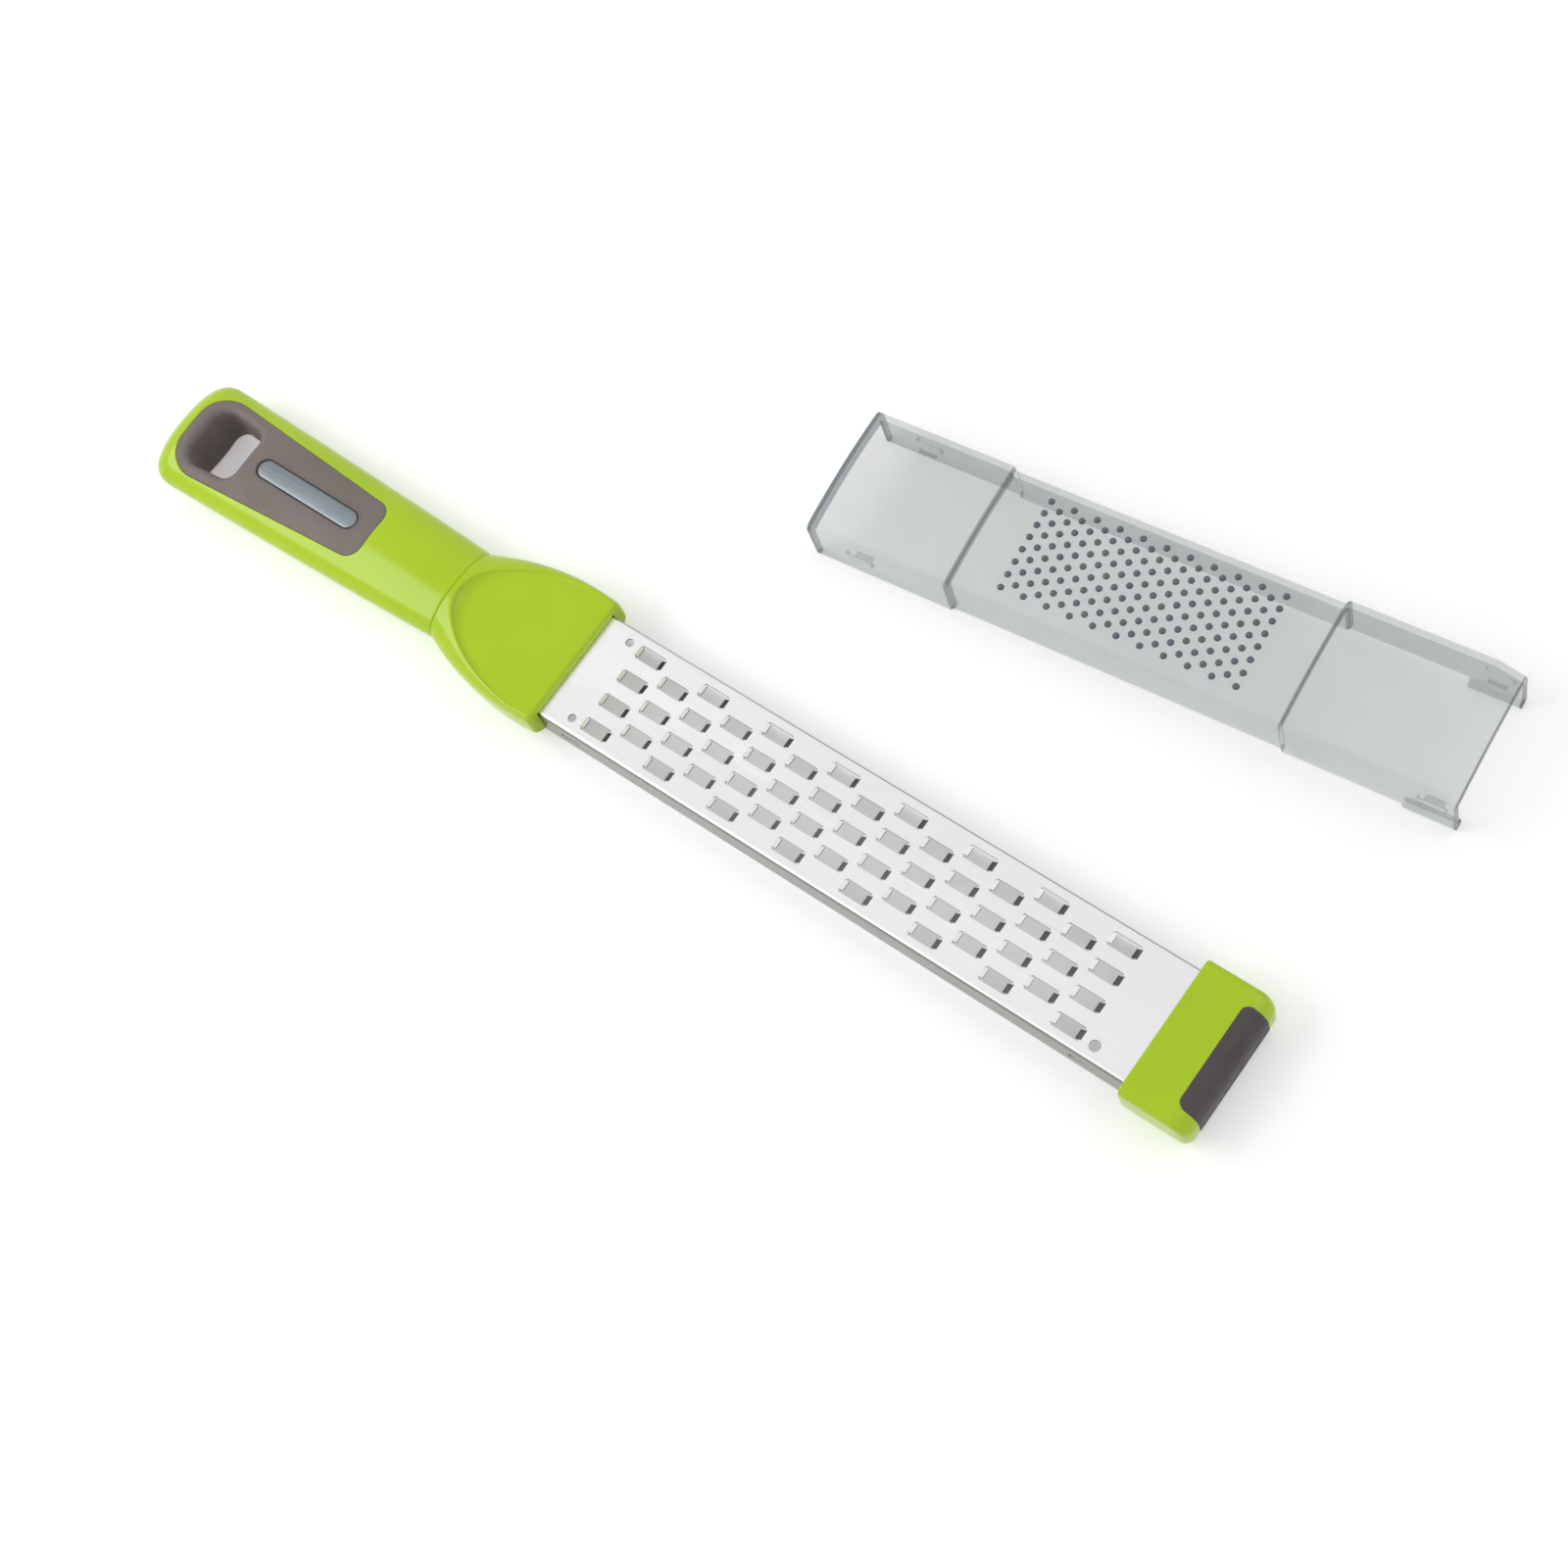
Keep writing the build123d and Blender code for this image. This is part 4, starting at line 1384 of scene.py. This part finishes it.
@dataclass
class Tip:
    """Lime cap on the blade's far end, and the soft foot that wraps its end."""

    cap: np.ndarray
    foot: np.ndarray
    blade_end: float
    blade_half: float
    blade_top: float
    pocket_floor: float
    corner: float = 2.6
    top_edge: float = 2.2
    nose_edge: float = 5.6
    under_edge: float = 3.4
    inner_edge: float = 0.45
    foot_proud: float = 0.12
    foot_proud_under: float = 0.03
    foot_sunk: float = 1.0
    foot_edge: float = 0.35
    foot_corner: float = 2.4
    border_shares: tuple = (0.0, 0.1, 0.3, 0.6, 1.0, 2.0, 4.0)
    edge_steps: int = 18
    corner_steps: int = 10
    run_steps: int = 44
    side_steps: int = 16

    def make_cap(self) -> bpy.types.Object:
        """Cap: plan loops drawn in by quarter circles at its underside, its top and its nose.

        Returns:
            The cap, with the blade's pocket cut.
        """
        low, high = self.cap
        turn = np.linspace(0.0, math.pi / 2, self.edge_steps)
        lower, upper = self.under_edge * (1 - np.cos(turn)), high[2] - self.nose_edge * (1 - np.sin(turn))
        heights = np.concatenate([lower, upper])
        under = corner_drop(heights - low[2], self.under_edge)
        sides = under + corner_drop(high[2] - heights, self.top_edge)
        ends = under + corner_drop(high[2] - heights, self.nose_edge)
        starts = low[0] + corner_drop(np.minimum(heights - low[2], high[2] - heights), self.inner_edge)
        loops = []
        for z, side, end, start in zip(heights, sides, ends, starts):
            half, corner = high[1] - side, self.corner - side / 2
            plan = rounded_loop(start, high[0] - end, half, self.inner_edge, corner, self.corner_steps)
            loops.append(stacked(plan[:, 0], plan[:, 1], z))
        cap = mesh_object("cap_moulding", [Patch(np.stack(loops), loop_columns=True, capped=True)])
        inside = (low[0] - OVER, -self.blade_half, self.pocket_floor)
        carve(cap, [block("pocket", inside, (self.blade_end, self.blade_half, self.blade_top))])
        return cap

    def profile(self, run: np.ndarray) -> tuple:
        """Point and outward direction on the cap's end, by the distance down from the foot's top.

        The line turns down over the cap's nose, runs straight down, turns round the lower
        edge and runs back along the underside.

        Args:
            run: Distance along the profile.

        Returns:
            X, Z and both parts of the outward direction.
        """
        low, high = self.cap
        start = self.nose_start()
        first = self.nose_edge * start
        second = first + high[2] - self.nose_edge - self.under_edge
        third = second + self.under_edge * math.pi / 2
        turn = np.where(run < first, start - run / self.nose_edge, 0.0)
        turn = np.where(run > second, -np.clip(run - second, 0.0, third - second) / self.under_edge, turn)
        radius = np.where(run < first, self.nose_edge, self.under_edge)
        middle = np.where(run < first, high[2] - self.nose_edge, self.under_edge)
        x = high[0] - radius + radius * np.cos(turn) - np.clip(run - third, 0.0, None)
        z = middle + radius * np.sin(turn)
        z = np.where((run >= first) & (run <= second), high[2] - self.nose_edge - (run - first), z)
        return x, z, np.cos(turn), np.sin(turn)

    def nose_start(self) -> float:
        """Angle above the level at which the foot's upper end lies on the nose's circle."""
        return math.acos(1 - (self.cap[1][0] - self.foot[0][0]) / self.nose_edge)

    def make_foot(self) -> bpy.types.Object:
        """Foot: a pad that follows the cap's end, a little proud, with a rounded border.

        Returns:
            The foot.
        """
        low, high = self.cap
        top, under = self.foot[1], self.foot[0]
        start = self.nose_start() * self.nose_edge
        straight = high[2] - self.nose_edge - self.under_edge
        back = high[0] - self.under_edge - under[0]
        length = start + straight + self.under_edge * math.pi / 2 + back
        near = self.foot_edge * np.array(self.border_shares)
        run = edged(0.0, length, near, self.run_steps)[:, None]
        half = top[1] - corner_drop(np.minimum(run, length - run), self.foot_corner)
        y = edged(-top[1], top[1], near, self.side_steps) / top[1] * half
        border = np.minimum(np.minimum(run, length - run), half - np.abs(y))
        x, z, out_x, out_z = self.profile(run)
        turned = ease((start + straight - run + self.under_edge) / self.under_edge)
        proud = self.foot_proud_under + (self.foot_proud - self.foot_proud_under) * turned
        proud = proud - corner_drop(border, self.foot_edge)
        outer = stacked(x + out_x * proud, y, z + out_z * proud)
        inner = stacked(x - out_x * self.foot_sunk, y, z - out_z * self.foot_sunk)
        return mesh_object("foot_pad", slab(outer, inner))

    def build(self, lime: bpy.types.Material, rubber: bpy.types.Material) -> None:
        """Make the cap and its foot and dress them."""
        settle(self.make_cap(), Body.ZESTER, Slot.LIME, lime, "tip_cap")
        settle(self.make_foot(), Body.ZESTER, Slot.FOOT, rubber, "tip_foot")


# Cover


@dataclass
class Cover:
    """Clear cover, made along its own X from its left end, then leant and laid down."""

    blade_half: float
    length: float = 168.25
    wall: float = 1.4
    clearance: float = 0.35
    side: float = 12.0
    crown: float = 1.1
    shoulder: float = 1.8
    inner_shoulder: float = 0.6
    left: float = 39.0
    right: float = 37.0
    slope: float = 6.3
    slope_drop: float = 3.0
    step: float = 0.7
    step_run: float = 1.0
    lip_thickness: float = 1.4
    lip_fall: float = 1.1
    foot_length: float = 13.0
    foot_drop: float = 3.0
    foot_width: float = 2.6
    foot_corner: float = 1.0
    snap_inset: float = 13.4
    snap_spacing: float = 149.0
    snap_length: float = 4.8
    snap_height: float = 1.5
    snap_bite: float = 0.5
    snap_middle: float = 3.4
    window_length: float = 6.8
    window_height: float = 3.0
    place: tuple = (-66.0, 84.0)
    turn: float = 5.6
    bump_rows: int = 15
    bump_count: int = 11
    bump_pitch: float = 6.13
    bump_row_pitch: float = 1.77
    bump_radius: float = 0.9
    bump_height: float = 0.8
    bump_sunk: float = 0.2
    bump_middle: float = 82.0
    bump_sides: int = 8
    bump_rings: int = 4
    row_gap: float = 1.0
    row_counts: tuple = (10, 22, 7, 4, 7)
    step_rows: int = 9
    lip_rows: float = 5.0
    lip_start: float = 5.2
    lip_fade: float = 2.6
    ledge_share: float = 0.2
    leg_steps: int = 6
    shoulder_steps: int = 8
    top_steps: int = 11
    corner_steps: int = 5
    # Half widths of the bands of painted shade at the near end, the steps, the far end and the side walls
    near_band: float = 1.2
    step_band: float = 0.6
    far_band: float = 0.8
    side_band: float = 1.5
    side_share: float = 0.35

    def steps(self, x: np.ndarray) -> np.ndarray:
        """How far the section is stepped out at x: eased over each short step run.

        Args:
            x: X of the places.

        Returns:
            The offset, 0 in the middle and the full step at both ends.
        """
        fall = ease((x - self.left + self.step_run) / self.step_run)
        rise = ease((x - self.slope_start() + self.right) / self.step_run)
        return self.step * (1 - fall + rise)

    def side_middle(self) -> float:
        """Distance of the side walls' middle from the cover's middle plane."""
        return self.blade_half + self.clearance + self.wall / 2 + self.step

    def slope_start(self) -> float:
        """X at which the far end starts to slope down."""
        return self.length - self.slope

    def rows(self) -> np.ndarray:
        """X of the rows: close together at the ends, lip, steps and feet.

        Returns:
            The places from end to end, each once.
        """
        gap, tiny = self.row_gap, 2 * MERGE
        fine = np.linspace(0.0, self.step_run, self.step_rows)
        lip, fall = self.lip_thickness, self.left - self.step_run
        slope_start, foot_start = self.slope_start(), self.length - self.foot_length
        rise = slope_start - self.right
        near, middle, far, foot, slope = self.row_counts
        return np.unique(np.concatenate([
            [0.0, lip, lip + tiny], np.linspace(self.lip_rows, fall - gap, near), fall + fine,
            np.linspace(self.left + gap, rise - gap, middle), rise + fine,
            np.linspace(rise + self.step_run + gap, foot_start - gap, far),
            [foot_start, foot_start + tiny], np.linspace(foot_start + gap, slope_start, foot),
            np.linspace(slope_start, self.length, slope)[1:],
        ]))

    def section(self, x: np.ndarray, inset: float, radius: float) -> np.ndarray:
        """Rows of points over the section, from the +Y leg over the top to the -Y leg.

        Legs are upright, the top is a parabola that rises by the crown, and a circle that
        touches both rounds each shoulder.

        Args:
            x: X of the rows, as a column.
            inset: How far the section is drawn in, 0 for the outside.
            radius: Radius of the shoulders.

        Returns:
            Points (rows, columns, 3) without the ends of the legs.
        """
        step = self.steps(x)
        drop = self.slope_drop * np.clip((x - self.slope_start()) / self.slope, 0.0, 1.0)
        half = self.blade_half + self.clearance + self.wall + step - inset
        edge = self.side + step - drop - inset
        slope = 2 * self.crown * (half - radius) / half**2
        lean = np.arctan(slope)
        flat_half = half - radius * (1 - np.sin(lean))
        arch = edge + self.crown * (1 - (flat_half / half) ** 2)
        centre_y, centre_z = half - radius, arch - radius * np.cos(lean)
        turn = np.linspace(0.0, 1.0, self.shoulder_steps) * (math.pi / 2 - lean)
        round_y, round_z = centre_y + radius * np.cos(turn), centre_z + radius * np.sin(turn)
        across = np.linspace(1.0, 0.0, self.top_steps)[1:] * flat_half
        top_z = edge + self.crown * (1 - (across / half) ** 2)
        legs = np.linspace(0.0, 1.0, self.leg_steps)[:-1]
        low = -self.foot_drop * (x > self.length - self.foot_length + MERGE)
        leg_z = low + self.foot_width + (centre_z - low - self.foot_width) * legs
        y = np.concatenate([np.broadcast_to(half, leg_z.shape), round_y, across], axis=1)
        z = np.concatenate([leg_z, round_z, top_z], axis=1)
        columns = stacked(x, y, z)
        return np.concatenate([columns, mirrored(columns[:, -2::-1])], axis=1)

    def surfaces(self) -> list:
        """The wall's surfaces: an outer and an inner grid with their foot and lip columns.

        Returns:
            The patches of the wall.
        """
        x = self.rows()[:, None]
        outer = self.section(x, 0.0, self.shoulder)
        inner = self.section(x, self.wall, self.inner_shoulder)
        lip = np.clip((inner[..., 2] - self.lip_start) / self.lip_fade, 0.0, 1.0)
        inner[..., 2] -= self.lip_fall * lip * (x <= self.lip_thickness + MERGE)
        footed = (x > self.length - self.foot_length + MERGE)[:, 0]
        low = -self.foot_drop * footed
        half = outer[:, 0, 1]
        turn = np.linspace(0.0, math.pi / 2, self.corner_steps)
        corner = self.foot_corner * footed[:, None]
        ends_y = half[:, None] - corner * (1 - np.cos(turn[::-1]))
        ends_z = low[:, None] + corner * (1 - np.sin(turn[::-1]))
        outer_end = stacked(x, ends_y, ends_z)
        hook = np.where(footed, half - self.foot_width, half - self.wall)
        ledge = low + self.wall * footed
        wall_y = half - self.wall
        inner_y = np.stack([hook, hook, wall_y, wall_y, wall_y], axis=1)
        inner_z = np.stack([low, ledge, ledge, ledge, ledge + self.wall * self.ledge_share], axis=1)
        inner_end = stacked(x, inner_y, inner_z)
        return slab(*(
            np.concatenate([end, grid, mirrored(end[:, ::-1])], axis=1)
            for end, grid in ((outer_end, outer), (inner_end, inner))
        ))

    def to_place(self, points: np.ndarray) -> np.ndarray:
        """Turn points from the cover's own frame to where it lies, leant on its feet.

        Args:
            points: Points in its own frame.

        Returns:
            The same points in the scene's frame, in millimetres.
        """
        lean = math.atan2(self.foot_drop, self.length - self.foot_length)
        matrix = (
            Matrix.Translation((*self.place, 0.0)) @ Matrix.Rotation(math.radians(self.turn), 4, "Z")
            @ Matrix.Translation((-self.length / 2, 0.0, 0.0)) @ Matrix.Rotation(-lean, 4, "Y")
        )
        turned = np.array(matrix)
        return points @ turned[:3, :3].T + turned[:3, 3]

    def lay_down(self, obj: bpy.types.Object) -> None:
        """Move a finished mesh from the cover's own frame to its place.

        Args:
            obj: The object whose mesh is moved.
        """
        points = np.empty(len(obj.data.vertices) * 3)
        obj.data.vertices.foreach_get("co", points)
        placed = self.to_place(points.reshape(-1, 3) / MM) * MM
        obj.data.vertices.foreach_set("co", placed.ravel())
        obj.data.update()

    def barb_top(self) -> float:
        """Height of the barbs' flat tops and of the windows' sills."""
        return self.snap_middle + self.snap_height / 2

    def window(self, place: float) -> bpy.types.Object:
        """Cutter for the two windows above a pair of barbs, right through the cover.

        Args:
            place: X of its middle.

        Returns:
            The cutter.
        """
        half, side, low = self.window_length / 2, 2 * self.blade_half, self.barb_top()
        high = low + self.window_height
        return block(f"window_{place:.0f}", (place - half, -side, low), (place + half, side, high))

    def barb(self, place: float, side: int) -> bpy.types.Object:
        """Barb inside a side wall, flat on top and sloped below.

        Args:
            place: X of its middle.
            side: 1 for the wall at +Y, and -1 for the other.

        Returns:
            The barb, its root sunk in the wall.
        """
        high = self.barb_top()
        root = self.blade_half + self.clearance + self.step + self.wall / 2
        point = self.blade_half - self.snap_bite
        profile = np.array([(root, high), (point, high), (root, high - self.snap_height)])
        ends = (place - self.snap_length / 2, place + self.snap_length / 2)
        rows = np.stack([stacked(end, side * profile[:, 0], profile[:, 1]) for end in ends])
        return mesh_object(f"barb_{place:.0f}_{side}", [Patch(rows, loop_columns=True, capped=True)])

    def shell(self) -> bpy.types.Object:
        """The cover's wall with its four windows cut and its barbs joined.

        Returns:
            The cover, where it lies.
        """
        cover = mesh_object("cover_moulding", self.surfaces())
        places = (self.snap_inset, self.snap_inset + self.snap_spacing)
        carve(cover, [self.window(place) for place in places])
        carve(cover, [self.barb(place, side) for place in places for side in (-1, 1)], Carving.JOIN)
        self.lay_down(cover)
        return cover

    def bumps(self) -> bpy.types.Object:
        """Small rounded bumps in staggered rows on the lower middle of the cover's top.

        Rows take turns to hold one bump fewer and shift by half a pitch. Each bump is rings
        whose radius falls as a cosine while its height rises as a sine, closed at its top.

        Returns:
            All the bumps as one piece.
        """
        line = np.arange(self.bump_rows)
        y = (line - (self.bump_rows - 1) / 2) * self.bump_row_pitch
        shift = (line % 2) * self.bump_pitch / 2
        count = np.arange(self.bump_count)
        x = self.bump_middle + (count - (self.bump_count - 1) / 2) * self.bump_pitch + shift[:, None]
        kept = (count < self.bump_count - line[:, None] % 2).ravel()
        centres = np.stack([x.ravel(), np.repeat(y, self.bump_count)], axis=-1)[kept]
        half = self.blade_half + self.clearance + self.wall
        top = self.side + self.crown * (1 - (centres[:, 1] / half) ** 2)
        turn = np.linspace(0.0, 2 * math.pi, self.bump_sides + 1)[:-1]
        rise = np.linspace(0.0, math.pi / 2, self.bump_rings)
        radius = self.bump_radius * np.concatenate([[0.0], np.cos(rise)])
        height = np.concatenate([[-self.bump_sunk], self.bump_height * np.sin(rise)])
        patches = []
        for centre, z in zip(centres, top):
            ring_x = centre[0] + radius[:, None] * np.cos(turn)
            ring_y = centre[1] + radius[:, None] * np.sin(turn)
            patches.append(Patch(stacked(ring_x, ring_y, (z + height)[:, None]), loop_columns=True))
        bumps = mesh_object("cover_bumps", patches)
        self.lay_down(bumps)
        return bumps

    def bands(self) -> tuple:
        """Bands of painted shade on the clear plastic, at the cover's ends, steps and side walls.

        Returns:
            The bands, each placed from the cover's middle.
        """
        middle, half_run = self.length / 2, self.step_run / 2
        return (
            Band(Axis.LENGTH, -middle, self.near_band),
            Band(Axis.LENGTH, self.left - half_run - middle, self.step_band),
            Band(Axis.LENGTH, self.slope_start() - self.right + half_run - middle, self.step_band),
            Band(Axis.LENGTH, middle, self.far_band),
            Band(Axis.WIDTH, -self.side_middle(), self.side_band, self.side_share),
            Band(Axis.WIDTH, self.side_middle(), self.side_band, self.side_share),
        )

    def build(self, clear: bpy.types.Material, dark: bpy.types.Material) -> None:
        """Make the cover and its bumps and dress them.

        Args:
            clear: Finish of the cover.
            dark: Finish of the bumps, a dark tint that is painted shade.
        """
        settle(self.shell(), Body.COVER, Slot.COVER, clear, "blade_cover")
        settle(self.bumps(), Body.COVER, Slot.COVER, dark)


# Stage, light and camera


@dataclass(frozen=True)
class Lamp:
    """Rectangular softbox: where it hangs, where it aims, its size and its power."""

    name: str
    place: tuple
    target: tuple
    width: float
    depth: float
    power: float

    def hang(self) -> None:
        """Hang it at its place, aimed at its target."""
        data = bpy.data.lights.new(self.name, "AREA")
        data.shape = "RECTANGLE"
        data.size, data.size_y = self.width * MM, self.depth * MM
        data.energy = self.power
        lamp = bpy.data.objects.new(self.name, data)
        place = Vector(self.place)
        aim = (Vector(self.target) - place).to_track_quat("-Z", "Y")
        lamp.matrix_world = Matrix.Translation(place * MM) @ aim.to_matrix().to_4x4()
        bpy.context.scene.collection.objects.link(lamp)


@dataclass
class Studio:
    """Pale floor, soft light and the photograph's viewpoint."""

    camera_place: tuple = (133.45, -120.18, 564.83)
    camera_right: tuple = (0.7812841, 0.5843164, -0.2194755)
    camera_up: tuple = (-0.4800145, 0.7872278, 0.3871157)
    camera_back: tuple = (0.3989753, -0.1970959, 0.8955289)
    lens: float = 61.2
    sensor: float = 36.0
    clip: tuple = (10.0, 20000.0)
    floor_half: float = 4000.0
    floor_colour: tuple = (0.9, 0.9, 0.9)
    floor_rough: float = 0.6
    floor_glow: tuple = (0.3, 0.6)
    glow_middle: tuple = (-147.0, 30.0)
    glow_reach: tuple = (230.0, 900.0)
    world_light: float = 0.55
    lamps: tuple = (
        Lamp("key", (-670.0, -340.0, 595.0), (-235.0, -8.0, 13.0), 700.0, 450.0, 3.0),
        Lamp("fill", (420.0, 420.0, 620.0), (-80.0, 20.0, 0.0), 600.0, 600.0, 0.9),
    )

    def add_camera(self) -> None:
        """Put the camera where the photograph was taken from."""
        data = bpy.data.cameras.new("camera")
        data.sensor_width = self.sensor
        data.lens = self.lens
        data.clip_start, data.clip_end = (MM * value for value in self.clip)
        camera = bpy.data.objects.new("camera", data)
        turned = Matrix((self.camera_right, self.camera_up, self.camera_back)).transposed().to_4x4()
        camera.matrix_world = Matrix.Translation(Vector(self.camera_place) * MM) @ turned
        bpy.context.scene.collection.objects.link(camera)
        bpy.context.scene.camera = camera

    def add_floor(self, level: float) -> None:
        """Lay the floor, which isn't part of the object, at the lowest point of the pieces.

        It is white to the camera, in reflections and through clear plastic by a glow that
        grows with the distance from the object, where the lamps' light falls off.

        Args:
            level: Height of the floor, in metres.
        """
        half = self.floor_half * MM
        mesh = bpy.data.meshes.new("floor")
        corners = [(-half, -half, level), (half, -half, level), (half, half, level), (-half, half, level)]
        mesh.from_pydata(corners, [], [(0, 1, 2, 3)])
        floor = bpy.data.objects.new("floor", mesh)
        bpy.context.scene.collection.objects.link(floor)
        material, shading, output, point = start_material("floor_white")
        middle = tuple(MM * value for value in (*self.glow_middle, 0.0))
        distance = shading.add("ShaderNodeVectorMath", {"operation": "DISTANCE"}, i0=point, i1=middle)
        limits = tuple(MM * value for value in self.glow_reach)
        far_glow = shading.ranged(distance.outputs["Value"], limits, self.floor_glow, True)
        glow = shading.math("MULTIPLY", self.seen(shading), far_glow)
        shader = shading.add(
            "ShaderNodeBsdfPrincipled", Base_Color=(*self.floor_colour, 1.0), Roughness=self.floor_rough,
            Emission_Color=WHITE, Emission_Strength=glow,
        )
        shading.tree.links.new(shader.outputs[0], output.inputs[0])
        mesh.materials.append(material)
        floor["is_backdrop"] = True

    def seen(self, shading: Shading) -> bpy.types.NodeSocket:
        """1 for rays of the camera, reflections and clear plastic, and 0 for light.

        Args:
            shading: Node tree that it is added to.

        Returns:
            The socket that gives it.
        """
        path = shading.add("ShaderNodeLightPath").outputs
        first = shading.math("MAXIMUM", path["Is Camera Ray"], path["Is Glossy Ray"])
        return shading.math("MAXIMUM", first, path["Is Transmission Ray"])

    def add_world(self) -> None:
        """White surroundings for the camera, reflections and clear plastic, softer as light."""
        world = bpy.data.worlds.new("world")
        world.use_nodes = True
        world.node_tree.nodes.clear()
        shading = Shading(world.node_tree)
        strength = shading.ranged(self.seen(shading), (0.0, 1.0), (self.world_light, 1.0))
        background = shading.add("ShaderNodeBackground", Color=WHITE, Strength=strength)
        output = shading.add("ShaderNodeOutputWorld")
        shading.tree.links.new(background.outputs[0], output.inputs[0])
        bpy.context.scene.world = world

    def build(self, level: float) -> None:
        """Set the stage.

        Args:
            level: Height of the floor, in metres.
        """
        bpy.context.scene.view_settings.view_transform = "Standard"
        self.add_camera()
        self.add_floor(level)
        self.add_world()
        for lamp in self.lamps:
            lamp.hang()


# The whole


LIME = MouldedFinish(
    "lime_gloss", deep=(0.43, 0.64, 0.0), pale=(0.47, 0.68, 0.004), smooth=0.13, rough=0.2,
    grain_height=0.03, specular=0.35, coat=0.15,
)
GRIP = MouldedFinish(
    "grip_matt", deep=(0.185, 0.155, 0.14), pale=(0.215, 0.18, 0.165), smooth=0.55, rough=0.7,
    grain=3500.0, grain_height=0.35, specular=0.4,
)
FOOT = MouldedFinish(
    "foot_matt", deep=(0.06, 0.05, 0.05), pale=(0.08, 0.068, 0.068), smooth=0.45, rough=0.6,
    grain=3500.0, grain_height=0.35, specular=0.4,
)
INNER = MouldedFinish(
    "inner_moulded", deep=(0.3, 0.42, 0.03), pale=(0.35, 0.48, 0.05), smooth=0.4, rough=0.55,
    grain_height=0.2,
)
# The steel's painted shade colour darkens its leaning faces: punched tabs, cut walls and flanges
STEEL = MetalFinish(
    "rolled_steel", deep=(0.76, 0.75, 0.75), pale=(0.82, 0.81, 0.81), smooth=0.26, rough=0.33,
    streaks=3500.0, depth=0.06, anisotropic=0.3, painted_shade_colour=(0.27, 0.265, 0.25), shade_lean_range=(0.8, 0.86),
)
BADGE = MetalFinish(
    "satin_badge", deep=(0.17, 0.2, 0.215), pale=(0.26, 0.295, 0.31), smooth=0.3, rough=0.4, streaks=4000.0,
)
SCREW = MetalFinish(
    "bright_screw", deep=(0.55, 0.55, 0.55), pale=(0.7, 0.7, 0.7), smooth=0.2, rough=0.3, stretch=1.0,
)
# The cover's bands of painted shade take its painted shade tint and alpha
CLEAR = ClearFinish(
    "smoky_clear", tint=(0.27, 0.34, 0.32), painted_shade_tint=(0.07, 0.11, 0.14), body_alpha=0.2,
    painted_shade_alpha=0.62, grazing_alpha=0.5,
)
# Painted shade: the bumps take a dark, nearly opaque tint in place of the darkness their refraction shows
BUMPS = ClearFinish(
    "bump_painted_shade", tint=(0.1, 0.15, 0.18), painted_shade_tint=(0.1, 0.15, 0.18), body_alpha=0.8,
    painted_shade_alpha=0.8, grazing_alpha=0.9,
)


def make_parts() -> tuple:
    """Work out each sub-assembly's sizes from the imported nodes.

    Returns:
        The handle, the neck, the tip and the cover.
    """
    shell, inlay, badge = span("handle_shell"), span("grip_inlay"), span("badge_plate")
    neck, keeper, blade = span("neck"), span("tang_keeper"), span("rasp_blade")
    core, seam = span("tip_core"), shell[1][0]
    blade_top = keeper[1][2] + blade[1][1] - keeper[1][1]
    form = HandleForm(tip=shell[0][0], seam=seam)
    start = inlay[0][0] + EyeOutline.INSET
    eye = EyeOutline(start, start + EyeOutline.LENGTH)
    handle = Handle(form, InlayOutline(inlay[0][0], inlay[1][0]), eye, badge)
    throat = Neck(
        seam, neck[1][0], form.seam_half, form.height, form.widest, blade_top, blade[1][1],
        tang_end=keeper[0][0], spigot_end=neck[0][0],
    )
    tip = Tip(span("tip_cap"), span("tip_foot"), blade[1][0], blade[1][1], blade_top, core[0][2])
    return handle, throat, tip, Cover(blade[1][1])


def main() -> None:
    """Build the groups, the finishes, every piece and the stage, and report each."""
    logging.basicConfig(level=logging.INFO, format="%(name)s: %(message)s")
    for make in (moulded_group, rolled_group, band_group):
        log.info("node group %s", make().name)
    handle, neck, tip, cover = make_parts()
    lime, grip, foot, inner = (finish.material() for finish in (LIME, GRIP, FOOT, INNER))
    steel, badge, screw = (finish.material() for finish in (STEEL, BADGE, SCREW))
    place, turn = (*cover.place, 0.0), math.radians(cover.turn)
    clear = replace(CLEAR, place=place, turn=turn, bands=cover.bands()).material()
    dark = BUMPS.material()
    handle.build(lime, grip, badge)
    neck.build(lime)
    tip.build(lime, foot)
    cover.build(clear, dark)
    dress("rasp_blade", Slot.STEEL, steel)
    dress("keeper_screws", Slot.SCREW, screw)
    for node in ("tang_keeper", "handle_core", "tip_core"):
        dress(node, Slot.INNER, inner)
    low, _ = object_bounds()
    Studio().build(low.z)


if __name__ == "__main__":
    main()
